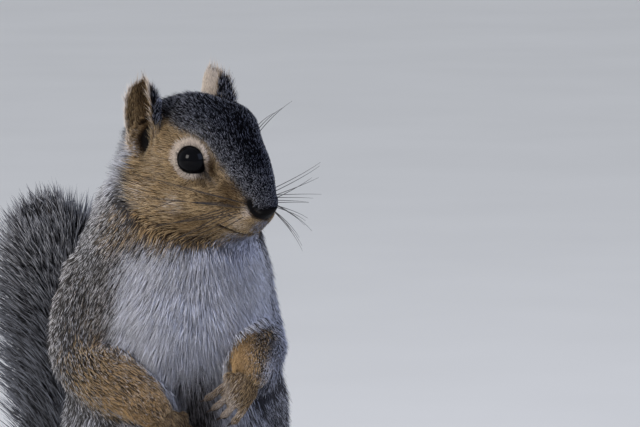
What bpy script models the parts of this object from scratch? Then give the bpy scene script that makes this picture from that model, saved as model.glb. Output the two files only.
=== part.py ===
"""Grey squirrel, upright and alert on its haunches, head turned to its left, forepaws held before the belly.

The body is lofted and fused, then parted by thin cuts into the parts that a person would name.
Each solid reaches to the tips of the coat. The squirrel faces -Y, its left is +X, and it rests on z = 0.
"""

import math

import bmesh
import bpy
import numpy as np
from mathutils import Matrix, Vector

MM = 0.001  # the sizes below are in millimetres

# Driving dimensions
CUT = 0.35  # width of a parting cut
GRAIN = 1.0  # voxels that fuse the flesh
FLESH_TRIANGLES, TAIL_TRIANGLES, EAR_TRIANGLES = 2050, 360, 240
PAW_TRIANGLES, FOOT_TRIANGLES, REGION_TRIANGLES = 260, 200, 110
HEAD_PLACE = (14.5, -15.0, 203.3)  # midway between the eyes
HEAD_TURN, HEAD_NOD, HEAD_TILT = 34.9, 15.7, 3.9  # degrees: to its left, nose down, right ear down
EYE_PLACE, EYE_RADIUS = (13.9, -2.4, 0.0), 6.3  # left eye in the head's frame
NOSE = ((0, -30.8, -10.8), (4.5, 2.9, 3.8))  # centre and radii in the head's frame
EAR_ROOT = (17.0, 18.0, -1.5)  # left ear in the head's frame
EAR_LEAN = (2.6, 8.0, 23.8)  # from the root to the tip
EAR_FACES = (0.95, -0.25, 0.2)  # the way the ear's hollow opens
EAR_WALL = 1.7
EAR_ARC = (13.2, 9.8)  # from the middle of the hollow round to the front edge and to the rear edge
EAR_CURL = (145, 55)  # degrees that the front and the rear edge have turned

# Stations of a loft: x, y, z, half-width, half-depth to one side and to the other.
# The trunk runs from rump to crown, and its first depth is the front.
TRUNK = [
    (0, 14, 18, 26, 25, 24),
    (0, 12, 34, 38, 37, 34),
    (0.5, 9, 56, 44, 42, 37),
    (1.5, 5, 80, 44, 41, 36),
    (2.5, 3, 102, 43.5, 39, 34.5),
    (1.5, 2, 124, 41, 36.5, 33),
    (1, 2, 144, 39, 34, 31),
    (1.5, 2, 160, 37.5, 31.5, 28.5),
    (3, 2, 174, 33.5, 28, 25.5),
    (4, 2, 188, 27.5, 23, 21.5),
    (5, -1, 202, 21, 17, 18),
]
# The head runs from nose to nape. Its frame has its origin between the eyes and looks along -Y.
# The first depth is up, the second down.
HEAD = [
    (0, -30.5, -9.6, 4.4, 4.6, 4.9),
    (0, -28, -9.8, 7, 8.6, 9.4),
    (0, -23.5, -10, 10.2, 12.6, 16),
    (0, -16, -9.2, 14.2, 17.6, 20.4),
    (0, -8, -7.6, 17.6, 20.6, 23),
    (0, 0, -5.4, 19.8, 23.4, 24),
    (0, 8, -4.4, 21.2, 24, 24.6),
    (0, 16, -4.2, 21.2, 22.8, 24.4),
    (0, 24, -4.6, 19.4, 19.8, 21.8),
    (0, 31, -5.4, 15.6, 15.2, 17),
]
# Rounded masses of the head: centre, then radii; each has its twin on the other side.
CHEEK = ((11.5, -2, -13.5), (10, 15, 11.5))
LIP = ((4.8, -22, -15.5), (5.6, 7.2, 6.6))
BROW = ((9.4, 3, 7.6), (8.8, 14, 10.2))
# Forelegs from shoulder to wrist. Depths are towards the elbow's side and away from it.
FORELEG = {
    "right": [
        (-26, 2, 158, 14, 15, 14),
        (-34, 0, 138, 12.5, 14, 13),
        (-34.6, -9, 125, 12, 12.5, 12),
        (-28.5, -20, 121, 11, 11.5, 11.5),
        (-21, -31.5, 116.5, 8.6, 9.6, 9.8),
        (-15.5, -41, 111.5, 7, 7.4, 7.6),
        (-11, -47.5, 107.5, 6, 5.6, 5.6),
    ],
    "left": [
        (25.5, 2, 158, 13.5, 15, 14),
        (30.4, 1, 141, 12, 13.5, 13),
        (31, -8, 131, 11.5, 12, 11.5),
        (30, -19, 129.5, 10.5, 10.5, 10.5),
        (26.8, -30, 128, 8.6, 9, 9),
        (22.8, -41, 124.8, 7.2, 7.2, 7.2),
        (19.6, -48, 120.8, 6.2, 5.8, 5.8),
    ],
}
# Forepaws: the way each points, and the way its fingers are spread from the thumb.
FOREPAW = {
    "right": ((0.56, 0.02, -0.82), (-0.80, -0.1, -0.55)),
    "left": ((-0.68, -0.02, -0.73), (0.70, -0.1, -0.70)),
}
PALM_LENGTH, PALM_HALF_WIDTH, PALM_HALF_DEPTH = 8.0, 6.8, 4.2
FINGER_LENGTH, FINGER_GAP, FINGER_RADIUS = 8.6, 3.5, 2.1
CLAW_RADIUS = 0.9
# Left hind leg; the right one mirrors it. Depths of the thigh are forward-up and back-down.
THIGH = [
    (18, 20, 54, 20, 27, 28),
    (27, 9, 50, 21.5, 30, 29),
    (34, -5, 43, 18.5, 26, 25),
    (38, -19, 33, 13, 18, 17),
]
SHANK = [
    (37, -17, 29, 12, 16, 14),
    (35.5, -3, 21, 11.5, 15, 13.5),
    (34, 11, 13, 9.5, 11, 10.5),
]
FOOT = [
    (33, 17, 5.5, 5, 5.5, 6.3),
    (34, 4, 5, 5.5, 6, 5.8),
    (35.5, -14, 4.4, 6, 5.4, 5.2),
    (37.5, -30, 3.6, 7, 4.4, 4.4),
    (38.5, -37, 3, 6.8, 3.4, 3.8),
]
TOE_REACH, TOE_GAP, TOE_RADIUS = (12, 15.5, 16.5, 15, 11.5), 3.0, 2.2  # innermost first
# The tail from rump to tip. Depths are of its upper side and its under side.
TAIL = [
    (0, 34, 22, 14, 14, 14),
    (0, 56, 18.2, 21, 17, 19),
    (-6, 82, 26, 28, 19, 22.5),
    (-13, 97, 60, 32, 20, 22),
    (-17, 95, 98, 34, 19.5, 21),
    (-24, 84, 132, 35, 18, 19.5),
    (-32, 71, 157, 32.5, 16, 17),
    (-37, 64, 171, 24.5, 12, 12.5),
    (-40, 60, 179, 13, 6.5, 6.5),
]
# Linear colour and roughness of each kind of node
LOOKS = {
    "trunk": ((0.36, 0.35, 0.36), 0.85),
    "neck": ((0.30, 0.28, 0.26), 0.85),
    "head": ((0.17, 0.13, 0.10), 0.85),
    "foreleg": ((0.27, 0.19, 0.11), 0.85),
    "forepaw": ((0.38, 0.24, 0.13), 0.85),
    "thigh": ((0.22, 0.20, 0.19), 0.85),
    "hind": ((0.34, 0.27, 0.20), 0.85),
    "tail": ((0.14, 0.13, 0.13), 0.9),
    "ear": ((0.42, 0.34, 0.26), 0.8),
    "eye": ((0.01, 0.008, 0.007), 0.05),
    "nose": ((0.03, 0.025, 0.027), 0.45),
    "claw": ((0.02, 0.016, 0.014), 0.35),
}
# Plane cuts that part the head and the neck: a place, and the way the cut faces.
NAPE = ((2, -3.5, 184.5), (-0.25, 0.40, -0.88))
COLLAR = ((0, 3, 159), (0, 0.08, -1.0))


def clear_scene():
    for old in list(bpy.data.objects):
        bpy.data.objects.remove(old)


def spline(rows, per_span=4):
    """The rows of a table filled in along a Catmull-Rom curve."""
    rows = np.array(rows, float)
    ends = np.vstack([2 * rows[0] - rows[1], rows, 2 * rows[-1] - rows[-2]])
    filled = []
    for before, here, there, after in zip(ends, ends[1:], ends[2:], ends[3:]):
        for t in np.arange(per_span) / per_span:
            rise = 0.5 * t * (there - before)
            bend = 0.5 * t**2 * (2 * before - 5 * here + 4 * there - after)
            turn = 0.5 * t**3 * (3 * here - before - 3 * there + after)
            filled.append(here + rise + bend + turn)
    return np.array(filled + [rows[-1]])


def solid(name, bm):
    """A scene object from a closed mesh drawn in millimetres."""
    bmesh.ops.scale(bm, vec=(MM, MM, MM), verts=bm.verts)
    bmesh.ops.recalc_face_normals(bm, faces=bm.faces)
    mesh = bpy.data.meshes.new(name)
    bm.to_mesh(mesh)
    bm.free()
    made = bpy.data.objects.new(name, mesh)
    bpy.context.scene.collection.objects.link(made)
    return made


def loft(name, rows, side=(1, 0, 0), around=28, per_span=4, turn=Matrix(), dome=(75, 50, 25)):
    """A closed limb through unlike oval sections, its ends domed by rings at so many degrees."""
    rows = spline(rows, per_span)
    path = [Vector(row[:3]) for row in rows]
    ahead = path[1:] + path[-1:]
    behind = path[:1] + path[:-1]
    tangents = [(there - here).normalized() for here, there in zip(behind, ahead)]
    bm = bmesh.new()
    rings = []

    def ring(centre, along, size, scale):
        width, front, back = size
        across = (Vector(side) - along * along.dot(Vector(side))).normalized()
        deep = across.cross(along)
        points = []
        for k in range(around):
            angle = 2 * math.pi * k / around
            depth = front if math.sin(angle) > 0 else back
            offset = across * width * math.cos(angle) + deep * depth * math.sin(angle)
            points.append(bm.verts.new(centre + offset * scale))
        rings.append(points)

    for lean in dome:
        bulge = 0.6 * min(rows[0][3:]) * math.sin(math.radians(lean))
        ring(path[0] - tangents[0] * bulge, tangents[0], rows[0][3:], math.cos(math.radians(lean)))
    for centre, along, row in zip(path, tangents, rows):
        ring(centre, along, row[3:], 1)
    for lean in reversed(dome):
        bulge = 0.6 * min(rows[-1][3:]) * math.sin(math.radians(lean))
        ring(path[-1] + tangents[-1] * bulge, tangents[-1], rows[-1][3:], math.cos(math.radians(lean)))
    for near, far in zip(rings, rings[1:]):
        for k in range(around):
            after = (k + 1) % around
            bm.faces.new((near[k], near[after], far[after], far[k]))
    bm.faces.new(rings[0])
    bm.faces.new(rings[-1])
    bmesh.ops.transform(bm, matrix=turn, verts=bm.verts)
    return solid(name, bm)


def ball(name, centre, radii, turn=Matrix(), segments=24, rings=14):
    """A ball, or with three radii a rounded mass."""
    radii = radii if hasattr(radii, "__len__") else (radii,) * 3
    place = turn @ Matrix.Translation(centre) @ Matrix.Diagonal((*radii, 1))
    bm = bmesh.new()
    bmesh.ops.create_uvsphere(bm, u_segments=segments, v_segments=rings, radius=1, matrix=place)
    return solid(name, bm)


def baked(made):
    """The object with its modifiers applied."""
    graph = bpy.context.evaluated_depsgraph_get()
    mesh = bpy.data.meshes.new_from_object(made.evaluated_get(graph))
    made.modifiers.clear()
    made.data = mesh
    return made


def thinned(made, triangles):
    """The object with about that many triangles, all of them flat."""
    flat = made.modifiers.new("triangles", "TRIANGULATE")
    flat.min_vertices = 4
    baked(made)
    thin = made.modifiers.new("thin", "DECIMATE")
    thin.ratio = min(1.0, triangles / len(made.data.polygons))
    return baked(made)


def fused(name, pieces, grain, smooth, triangles):
    """The pieces as one smooth skin of about that many triangles."""
    bm = bmesh.new()
    for piece in pieces:
        bm.from_mesh(piece.data)
        bpy.data.objects.remove(piece)
    mesh = bpy.data.meshes.new(name)
    bm.to_mesh(mesh)
    bm.free()
    whole = bpy.data.objects.new(name, mesh)
    bpy.context.scene.collection.objects.link(whole)
    remesh = whole.modifiers.new("fuse", "REMESH")
    remesh.mode, remesh.voxel_size = "VOXEL", grain * MM
    soften = whole.modifiers.new("soften", "SMOOTH")
    soften.factor, soften.iterations = 0.5, smooth
    return thinned(baked(whole), triangles)


def copy_of(source, name, grow=0.0):
    """A copy, which may be grown outwards all over."""
    made = bpy.data.objects.new(name, source.data.copy())
    bpy.context.scene.collection.objects.link(made)
    if grow:
        swell = made.modifiers.new("swell", "DISPLACE")
        swell.strength, swell.mid_level = grow * MM, 0.0
        baked(made)
    return made


def combined(made, other, operation):
    step = made.modifiers.new(operation, "BOOLEAN")
    step.operation, step.object, step.solver = operation, other, "EXACT"
    return baked(made)


def make_room(made, other, gap=CUT):
    """Cuts from made the room that other takes, and a thin gap round it."""
    room = copy_of(other, "room", gap)
    combined(made, room, "DIFFERENCE")
    bpy.data.objects.remove(room)
    return made


def carved(made, region, name):
    """Takes what lies in the region off made, as a new object, and removes the region."""
    piece = copy_of(made, name)
    combined(piece, region, "INTERSECT")
    make_room(made, region)
    bpy.data.objects.remove(region)
    return piece


def keep_side(made, place, facing):
    """Keeps the side of made that the plane faces away from, and closes the cut."""
    bm = bmesh.new()
    bm.from_mesh(made.data)
    everything = bm.verts[:] + bm.edges[:] + bm.faces[:]
    cut = bmesh.ops.bisect_plane(
        bm, geom=everything, dist=1e-7, plane_co=place, plane_no=facing, clear_outer=True
    )
    rim = [e for e in cut["geom_cut"] if isinstance(e, bmesh.types.BMEdge)]
    if rim:
        bmesh.ops.holes_fill(bm, edges=rim)
        bmesh.ops.recalc_face_normals(bm, faces=bm.faces)
    bm.to_mesh(made.data)
    bm.free()
    return made


def flattened(made):
    """Presses what lies below the floor flat."""
    return keep_side(made, (0, 0, 0), (0, 0, -1))


def parted(made, place, facing, name):
    """Takes the side of made that the cut faces away from as a new object, and leaves the other."""
    facing, place = Vector(facing).normalized(), Vector(place)
    piece = copy_of(made, name)
    keep_side(piece, (place - facing * CUT / 2) * MM, facing)
    keep_side(made, (place + facing * CUT / 2) * MM, -facing)
    return piece


def without_offcuts(made):
    """Keeps the largest piece of a node and drops the slivers that the cuts left beside it."""
    bm = bmesh.new()
    bm.from_mesh(made.data)
    waiting, pieces = set(bm.verts), []
    while waiting:
        edge_of_piece = [waiting.pop()]
        piece = set(edge_of_piece)
        while edge_of_piece:
            for edge in edge_of_piece.pop().link_edges:
                for vertex in edge.verts:
                    if vertex in waiting:
                        waiting.remove(vertex)
                        piece.add(vertex)
                        edge_of_piece.append(vertex)
        pieces.append(piece)
    pieces.sort(key=len)
    bmesh.ops.delete(bm, geom=[v for piece in pieces[:-1] for v in piece], context="VERTS")
    bm.to_mesh(made.data)
    bm.free()
    return made


def head_frame():
    turns = (
        Matrix.Rotation(math.radians(HEAD_TURN), 4, "Z")
        @ Matrix.Rotation(math.radians(HEAD_NOD), 4, "X")
        @ Matrix.Rotation(math.radians(-HEAD_TILT), 4, "Y")
    )
    return Matrix.Translation(HEAD_PLACE) @ turns


def mirrored(point, sign):
    return (point[0] * sign, *point[1:])


def grown(rows, sign=1, by=0.0):
    """The rows of a table, mirrored for the right side, with every section that much larger."""
    return [(x * sign, y, z, *(size + by for size in sizes)) for x, y, z, *sizes in rows]


def body():
    """Head, neck, trunk, haunches and forelegs down to the wrist as one."""
    head = head_frame()
    pieces = [loft("trunk_form", TRUNK), loft("head_form", HEAD, turn=head, around=32)]
    for sign in (1, -1):
        for centre, radii in (CHEEK, LIP, BROW):
            pieces.append(ball("mass", mirrored(centre, sign), radii, head))
        pieces.append(loft("thigh_form", grown(THIGH, sign)))
        pieces.append(loft("shank_form", grown(SHANK, sign)))
    pieces += [loft("arm_form", rows) for rows in FORELEG.values()]
    return flattened(fused("trunk", pieces, GRAIN, 40, FLESH_TRIANGLES))


def digits(root, aim, spread, under, reach, gap, radius, bend):
    """Fingers or toes side by side, and for each its tip, the way it points there and its under side."""
    pieces, tips = [], []
    for k, length in enumerate(reach):
        off = k - (len(reach) - 1) / 2
        start = root + spread * off * gap
        out = (aim + spread * off * 0.11).normalized()
        path = [
            start,
            start + out * length * 0.45,
            start + out * length * 0.8 + under * length * bend * 0.35,
            start + out * length * 0.98 + under * length * bend,
        ]
        rows = [(*point, *[radius * share] * 3) for point, share in zip(path, (1, 1.05, 1, 0.86))]
        pieces.append(loft("digit", rows, side=spread, around=12, per_span=2))
        tips.append((path[-1], (path[-1] - path[-2]).normalized(), under))
    return pieces, tips


def claw(name, tip, aim, under, length, droop):
    """A curved, pointed claw, rooted inside its digit."""
    rows = []
    for t in (0.0, 0.4, 0.72, 1.0):
        centre = tip + aim * length * (t - 0.35) + under * droop * t * t
        thick = CLAW_RADIUS * (1 - t) ** 0.7 + 0.17
        rows.append((*centre, thick * 0.75, thick, thick))
    return loft(name, rows, side=aim.cross(under), around=6, per_span=1, dome=())


def square_to(vector, aim):
    return (vector - aim * aim.dot(vector)).normalized()


def forepaw(side):
    """Palm, thumb stub and four fingers that hang limp, with their claws."""
    wrist = Vector(FORELEG[side][-1][:3])
    aim = Vector(FOREPAW[side][0]).normalized()
    spread = square_to(Vector(FOREPAW[side][1]), aim)
    under = square_to(Vector((0, 1, 0)), aim)
    stations = ((-1, 0.84), (PALM_LENGTH / 2, 1), (PALM_LENGTH, 1))
    deep = [PALM_HALF_DEPTH] * 2
    palm = [(*(wrist + aim * step), PALM_HALF_WIDTH * share, *deep) for step, share in stations]
    reach = [FINGER_LENGTH * share for share in (0.88, 1.0, 1.0, 0.86)]
    root = wrist + aim * (PALM_LENGTH - 1)
    fingers, tips = digits(root, aim, spread, under, reach, FINGER_GAP, FINGER_RADIUS, 0.3)
    thumb = ball("thumb", wrist + aim * 3 - spread * 6.6, (2.4, 2.4, 2.4), segments=14, rings=8)
    pieces = [loft("palm", palm, side=spread, around=20), thumb, *fingers]
    paw = fused(f"forepaw_{side}", pieces, 0.6, 4, PAW_TRIANGLES)
    claws = [claw(f"claw_fore_{side}_{k + 1}", *tip, 5.4, 1.9) for k, tip in enumerate(tips)]
    return paw, claws


def hind_foot(side):
    """A long flat sole and five toes, with their claws."""
    sign = 1 if side == "left" else -1
    rows = grown(FOOT, sign)
    aim = Vector((sign * 0.09, -1, -0.03)).normalized()
    spread = square_to(Vector((sign, 0, 0)), aim)
    down = Vector((0, 0, -1))
    root = Vector(rows[-1][:3]) + Vector((0, 1, 0.2))
    toes, tips = digits(root, aim, spread, down, TOE_REACH, TOE_GAP, TOE_RADIUS, 0.07)
    foot = fused(f"hind_foot_{side}", [loft("sole", rows), *toes], 0.7, 4, FOOT_TRIANGLES)
    claws = [
        claw(f"claw_hind_{side}_{k + 1}", tip + Vector((0, 0, 0.5)), aim, down, 5.6, 0.9)
        for k, (tip, way, under) in enumerate(tips)
    ]
    return flattened(foot), claws


def ear_profile(share, arc, curl):
    """How far out and up the wall has come at a share of its arc, turning faster towards its edge."""
    out = cup = 0.0
    steps = 12
    for k in range(steps):
        s = share * (k + 0.5) / steps
        angle = math.radians(curl) * (0.7 * s + 0.3 * s * s)
        out += math.cos(angle) * arc * share / steps
        cup += math.sin(angle) * arc * share / steps
    return out, cup


def ear(side):
    """A leaf-shaped, hollowed ear with a rounded tip and a rolled front edge."""
    sign = 1 if side == "left" else -1
    root, rise, faces = (Vector(mirrored(v, sign)) for v in (EAR_ROOT, EAR_LEAN, EAR_FACES))
    faces = square_to(faces, rise.normalized())
    back = rise.normalized().cross(faces) * sign
    levels, columns = 14, 16
    bm = bmesh.new()
    grid = []
    for i in range(levels + 1):
        t = i / levels
        share = (1 - t**5) ** 0.5 * (1.06 - 0.24 * t) + 0.04
        sunk = 3.6 - 1.8 * t
        row = []
        for j in range(columns + 1):
            rear = j > columns / 2
            out, cup = ear_profile(abs(2 * j / columns - 1), EAR_ARC[rear] * share, EAR_CURL[rear] * (1 - 0.3 * t))
            row.append(root + rise * t + back * (out if rear else -out) + faces * (cup - sunk))
        grid.append([bm.verts.new(place) for place in row])
    for low, high in zip(grid, grid[1:]):
        for j in range(columns):
            bm.faces.new((low[j], low[j + 1], high[j + 1], high[j]))
    bmesh.ops.transform(bm, matrix=head_frame(), verts=bm.verts)
    made = solid(f"ear_{side}", bm)
    wall = made.modifiers.new("wall", "SOLIDIFY")
    wall.thickness, wall.offset = EAR_WALL * MM, 0
    fuse = made.modifiers.new("round", "REMESH")
    fuse.mode, fuse.voxel_size = "VOXEL", 0.5 * MM
    soften = made.modifiers.new("soften", "SMOOTH")
    soften.factor, soften.iterations = 0.5, 3
    return thinned(baked(made), EAR_TRIANGLES)


def finish(name, colour, roughness):
    made = bpy.data.materials.new(name)
    made.use_nodes = True
    shader = made.node_tree.nodes["Principled BSDF"]
    shader.inputs["Base Color"].default_value = (*colour, 1)
    shader.inputs["Roughness"].default_value = roughness
    return made


def dressed_and_placed(nodes):
    """Gives each node its finish, and puts the middle of the whole footprint at the origin."""
    finishes = {word: finish(word, *look) for word, look in LOOKS.items()}
    corners = [Vector(corner) for node in nodes for corner in node.bound_box]
    low, high = (Vector([pick(c[i] for c in corners) for i in range(3)]) for pick in (min, max))
    group = bpy.data.collections.new("grey_squirrel")
    bpy.context.scene.collection.children.link(group)
    for node in nodes:
        without_offcuts(node)
        node.data.materials.clear()
        node.data.materials.append(finishes[node.name.split("_")[0]])
        node.data.shade_smooth()
        node.data.set_sharp_from_angle(angle=math.radians(40))
        node.location = (-(low.x + high.x) / 2, -(low.y + high.y) / 2, -low.z)
        bpy.context.scene.collection.objects.unlink(node)
        group.objects.link(node)


def main():
    clear_scene()
    bpy.context.scene.unit_settings.system = "METRIC"
    head = head_frame()
    trunk = body()
    nodes, claws = [], []
    for side, sign in (("right", -1), ("left", 1)):
        paw, paw_claws = forepaw(side)
        foot, foot_claws = hind_foot(side)
        make_room(trunk, paw)
        make_room(trunk, foot)
        for one in paw_claws:
            make_room(paw, one)
        for one in foot_claws:
            make_room(foot, one)
        claws += paw_claws + foot_claws
        flap = ear(side)
        make_room(flap, trunk)
        eye = ball(f"eye_{side}", mirrored(EYE_PLACE, sign), EYE_RADIUS, head, 14, 8)
        make_room(trunk, eye, 0.3)
        nodes += [paw, foot, flap, eye]
    nose = ball("nose", *NOSE, head, 12, 6)
    make_room(trunk, nose)
    tail = flattened(fused("tail", [loft("plume", TAIL)], 1.6, 4, TAIL_TRIANGLES))
    make_room(tail, trunk)
    nodes += [nose, tail]
    for side, sign in (("right", -1), ("left", 1)):
        around_arm = fused("region", [loft("arm_region", grown(FORELEG[side], 1, 2.4))], 1.4, 2, REGION_TRIANGLES)
        nodes.append(carved(trunk, around_arm, f"foreleg_{side}"))
        leg_forms = [loft("thigh_region", grown(THIGH, sign, 2.6)), loft("shank_region", grown(SHANK, sign, 2.6))]
        nodes.append(carved(trunk, fused("region", leg_forms, 1.4, 4, REGION_TRIANGLES), f"thigh_{side}"))
    top = parted(trunk, *NAPE, "head")
    neck = parted(trunk, *COLLAR, "neck")
    nodes += [trunk, top, neck, *claws]

    dressed_and_placed(nodes)


main()
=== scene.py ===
import math

import bmesh
import bpy
import numpy as np
from mathutils import Matrix, Vector
from mathutils.bvhtree import BVHTree
from mathutils.kdtree import KDTree


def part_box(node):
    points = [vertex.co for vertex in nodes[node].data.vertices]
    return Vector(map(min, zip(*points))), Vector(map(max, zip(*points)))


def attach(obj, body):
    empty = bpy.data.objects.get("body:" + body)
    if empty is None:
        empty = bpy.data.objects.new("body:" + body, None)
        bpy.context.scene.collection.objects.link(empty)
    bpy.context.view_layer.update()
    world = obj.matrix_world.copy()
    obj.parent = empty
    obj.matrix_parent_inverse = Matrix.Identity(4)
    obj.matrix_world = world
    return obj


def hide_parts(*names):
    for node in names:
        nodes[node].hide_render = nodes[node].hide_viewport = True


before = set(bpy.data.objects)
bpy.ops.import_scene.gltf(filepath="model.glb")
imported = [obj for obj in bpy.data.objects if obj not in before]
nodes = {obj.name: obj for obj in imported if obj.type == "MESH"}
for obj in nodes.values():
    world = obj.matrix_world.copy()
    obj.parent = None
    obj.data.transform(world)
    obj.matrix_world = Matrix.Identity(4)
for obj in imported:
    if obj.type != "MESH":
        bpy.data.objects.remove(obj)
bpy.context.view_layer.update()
scene = bpy.context.scene
print("frame loaded:", len(nodes), "nodes")

# All places are in millimetres in the squirrel's own frame: it faces -Y and its left is +X.
# Head places are in the head's frame, which starts between the eyes and looks along -Y.
head = dict(place=(14.5, -15.0, 203.3), turn=34.9, nod=15.7, tilt=3.9)
eye = dict(place=(13.9, -2.4, 0.0), radius=6.3, looks=(0.90, -0.40, 0.27), opening=52, corner=21)

headTurn = np.array(
    Matrix.Rotation(math.radians(head["turn"]), 3, "Z")
    @ Matrix.Rotation(math.radians(head["nod"]), 3, "X")
    @ Matrix.Rotation(math.radians(-head["tilt"]), 3, "Y")
)
leftEye = headTurn @ eye["place"] + head["place"]
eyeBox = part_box("eye_left")
shift = np.array(eyeBox[0] + eyeBox[1]) * 500 - leftEye  # from the squirrel's frame to the model's


def toModel(points):
    return (np.asarray(points, float) + shift) * 0.001


def fromModel(points):
    return np.asarray(points, float) * 1000 - shift


def toHead(points):
    return (np.asarray(points, float) - head["place"]) @ headTurn


def fromHead(points):
    return np.asarray(points, float) @ headTurn.T + head["place"]


def ramp(low, high, value):
    share = np.clip((value - low) / (high - low), 0, 1)
    return share * share * (3 - 2 * share)


def length(vectors):
    return np.linalg.norm(vectors, axis=-1)


def unit(vectors):
    return vectors / np.maximum(length(vectors)[..., None], 1e-9)


def highest(*values):
    return np.maximum.reduce(np.broadcast_arrays(*values))


def bell(value, width):
    return np.exp(-((value / width) ** 2))


def mirrored(places, side):  # head places of the right side taken to the left, and back
    return places * (side * (1, 0, 0) + (0, 1, 1))


def treeOf(places):
    tree = KDTree(len(places))
    for index, place in enumerate(places):
        tree.insert(place, index)
    tree.balance()
    return tree


def near(places, centre, radii, soft=0.35):  # 1 inside a rounded region and 0 outside it
    return ramp(1 + soft, 1 - soft, length((places - np.array(centre, float)) / np.array(radii, float)))


def spline(rows, perSpan=6):  # fills a row of places in along a Catmull-Rom curve
    rows = np.array(rows, float)
    ends = np.vstack([2 * rows[0] - rows[1], rows, 2 * rows[-1] - rows[-2]])
    filled = []
    for before, here, there, after in zip(ends, ends[1:], ends[2:], ends[3:]):
        for t in np.arange(perSpan) / perSpan:
            rise = t * (there - before)
            bend = t**2 * (2 * before - 5 * here + 4 * there - after)
            turn = t**3 * (3 * here - before - 3 * there + after)
            filled.append(here + (rise + bend + turn) / 2)
    return np.array(filled + [rows[-1]])


def meshObject(name, points, faces, edges=()):
    mesh = bpy.data.meshes.new(name)
    mesh.from_pydata(toModel(points).tolist(), edges, faces)
    made = bpy.data.objects.new(name, mesh)
    scene.collection.objects.link(made)
    return made


def applied(made):  # its modifiers become part of its mesh
    graph = bpy.context.evaluated_depsgraph_get()
    mesh = bpy.data.meshes.new_from_object(made.evaluated_get(graph))
    made.modifiers.clear()
    made.data = mesh
    return made


def tube(path, radii, around=16, side=(0.31, 0.2, 0.93)):  # a closed tube along a path, as points and faces
    path, radii = np.array(path, float), np.array(radii, float).reshape(len(path), -1)
    along = unit(np.gradient(path, axis=0))
    side = np.array(side, float)
    points, faces = [], []
    turns = np.arange(around) * 2 * np.pi / around
    for centre, way, radius in zip(path, along, radii):
        side = unit(side - way * side.dot(way))
        other = np.cross(way, side)
        points += [centre + radius[0] * side * math.cos(a) + radius[-1] * other * math.sin(a) for a in turns]
    rings = len(path)
    for i in range(rings - 1):
        for k in range(around):
            after = (k + 1) % around
            faces.append((i * around + k, i * around + after, (i + 1) * around + after, (i + 1) * around + k))
    faces.append(tuple(reversed(range(around))))
    faces.append(tuple(range((rings - 1) * around, rings * around)))
    return np.array(points), faces


def arrays(made):  # points in millimetres, their normals and the edges
    mesh = made.data
    points, normals = np.empty((len(mesh.vertices), 3)), np.empty((len(mesh.vertices), 3))
    edges = np.empty((len(mesh.edges), 2), np.int32)
    mesh.vertices.foreach_get("co", points.ravel())
    mesh.vertex_normals.foreach_get("vector", normals.ravel())
    mesh.edges.foreach_get("vertices", edges.ravel())
    return fromModel(points), normals, edges


def triangles(made):
    return sum(len(face.vertices) - 2 for face in made.data.polygons)


def movePoints(made, points):
    made.data.vertices.foreach_set("co", toModel(points).astype(np.float32).ravel())
    made.data.update()


def softened(values, edges, times, share=0.5):  # each value drawn towards the mean of its neighbours
    values = np.array(values, float)
    flat = values.reshape(len(values), -1)
    count = np.maximum(np.bincount(edges.ravel(), minlength=len(values)), 1)
    share = np.broadcast_to(share, len(values))
    for _ in range(times):
        for column in flat.T:
            total = np.bincount(edges[:, 0], weights=column[edges[:, 1]], minlength=len(column))
            total += np.bincount(edges[:, 1], weights=column[edges[:, 0]], minlength=len(column))
            column += share * (total / count - column)
    return values


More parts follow.
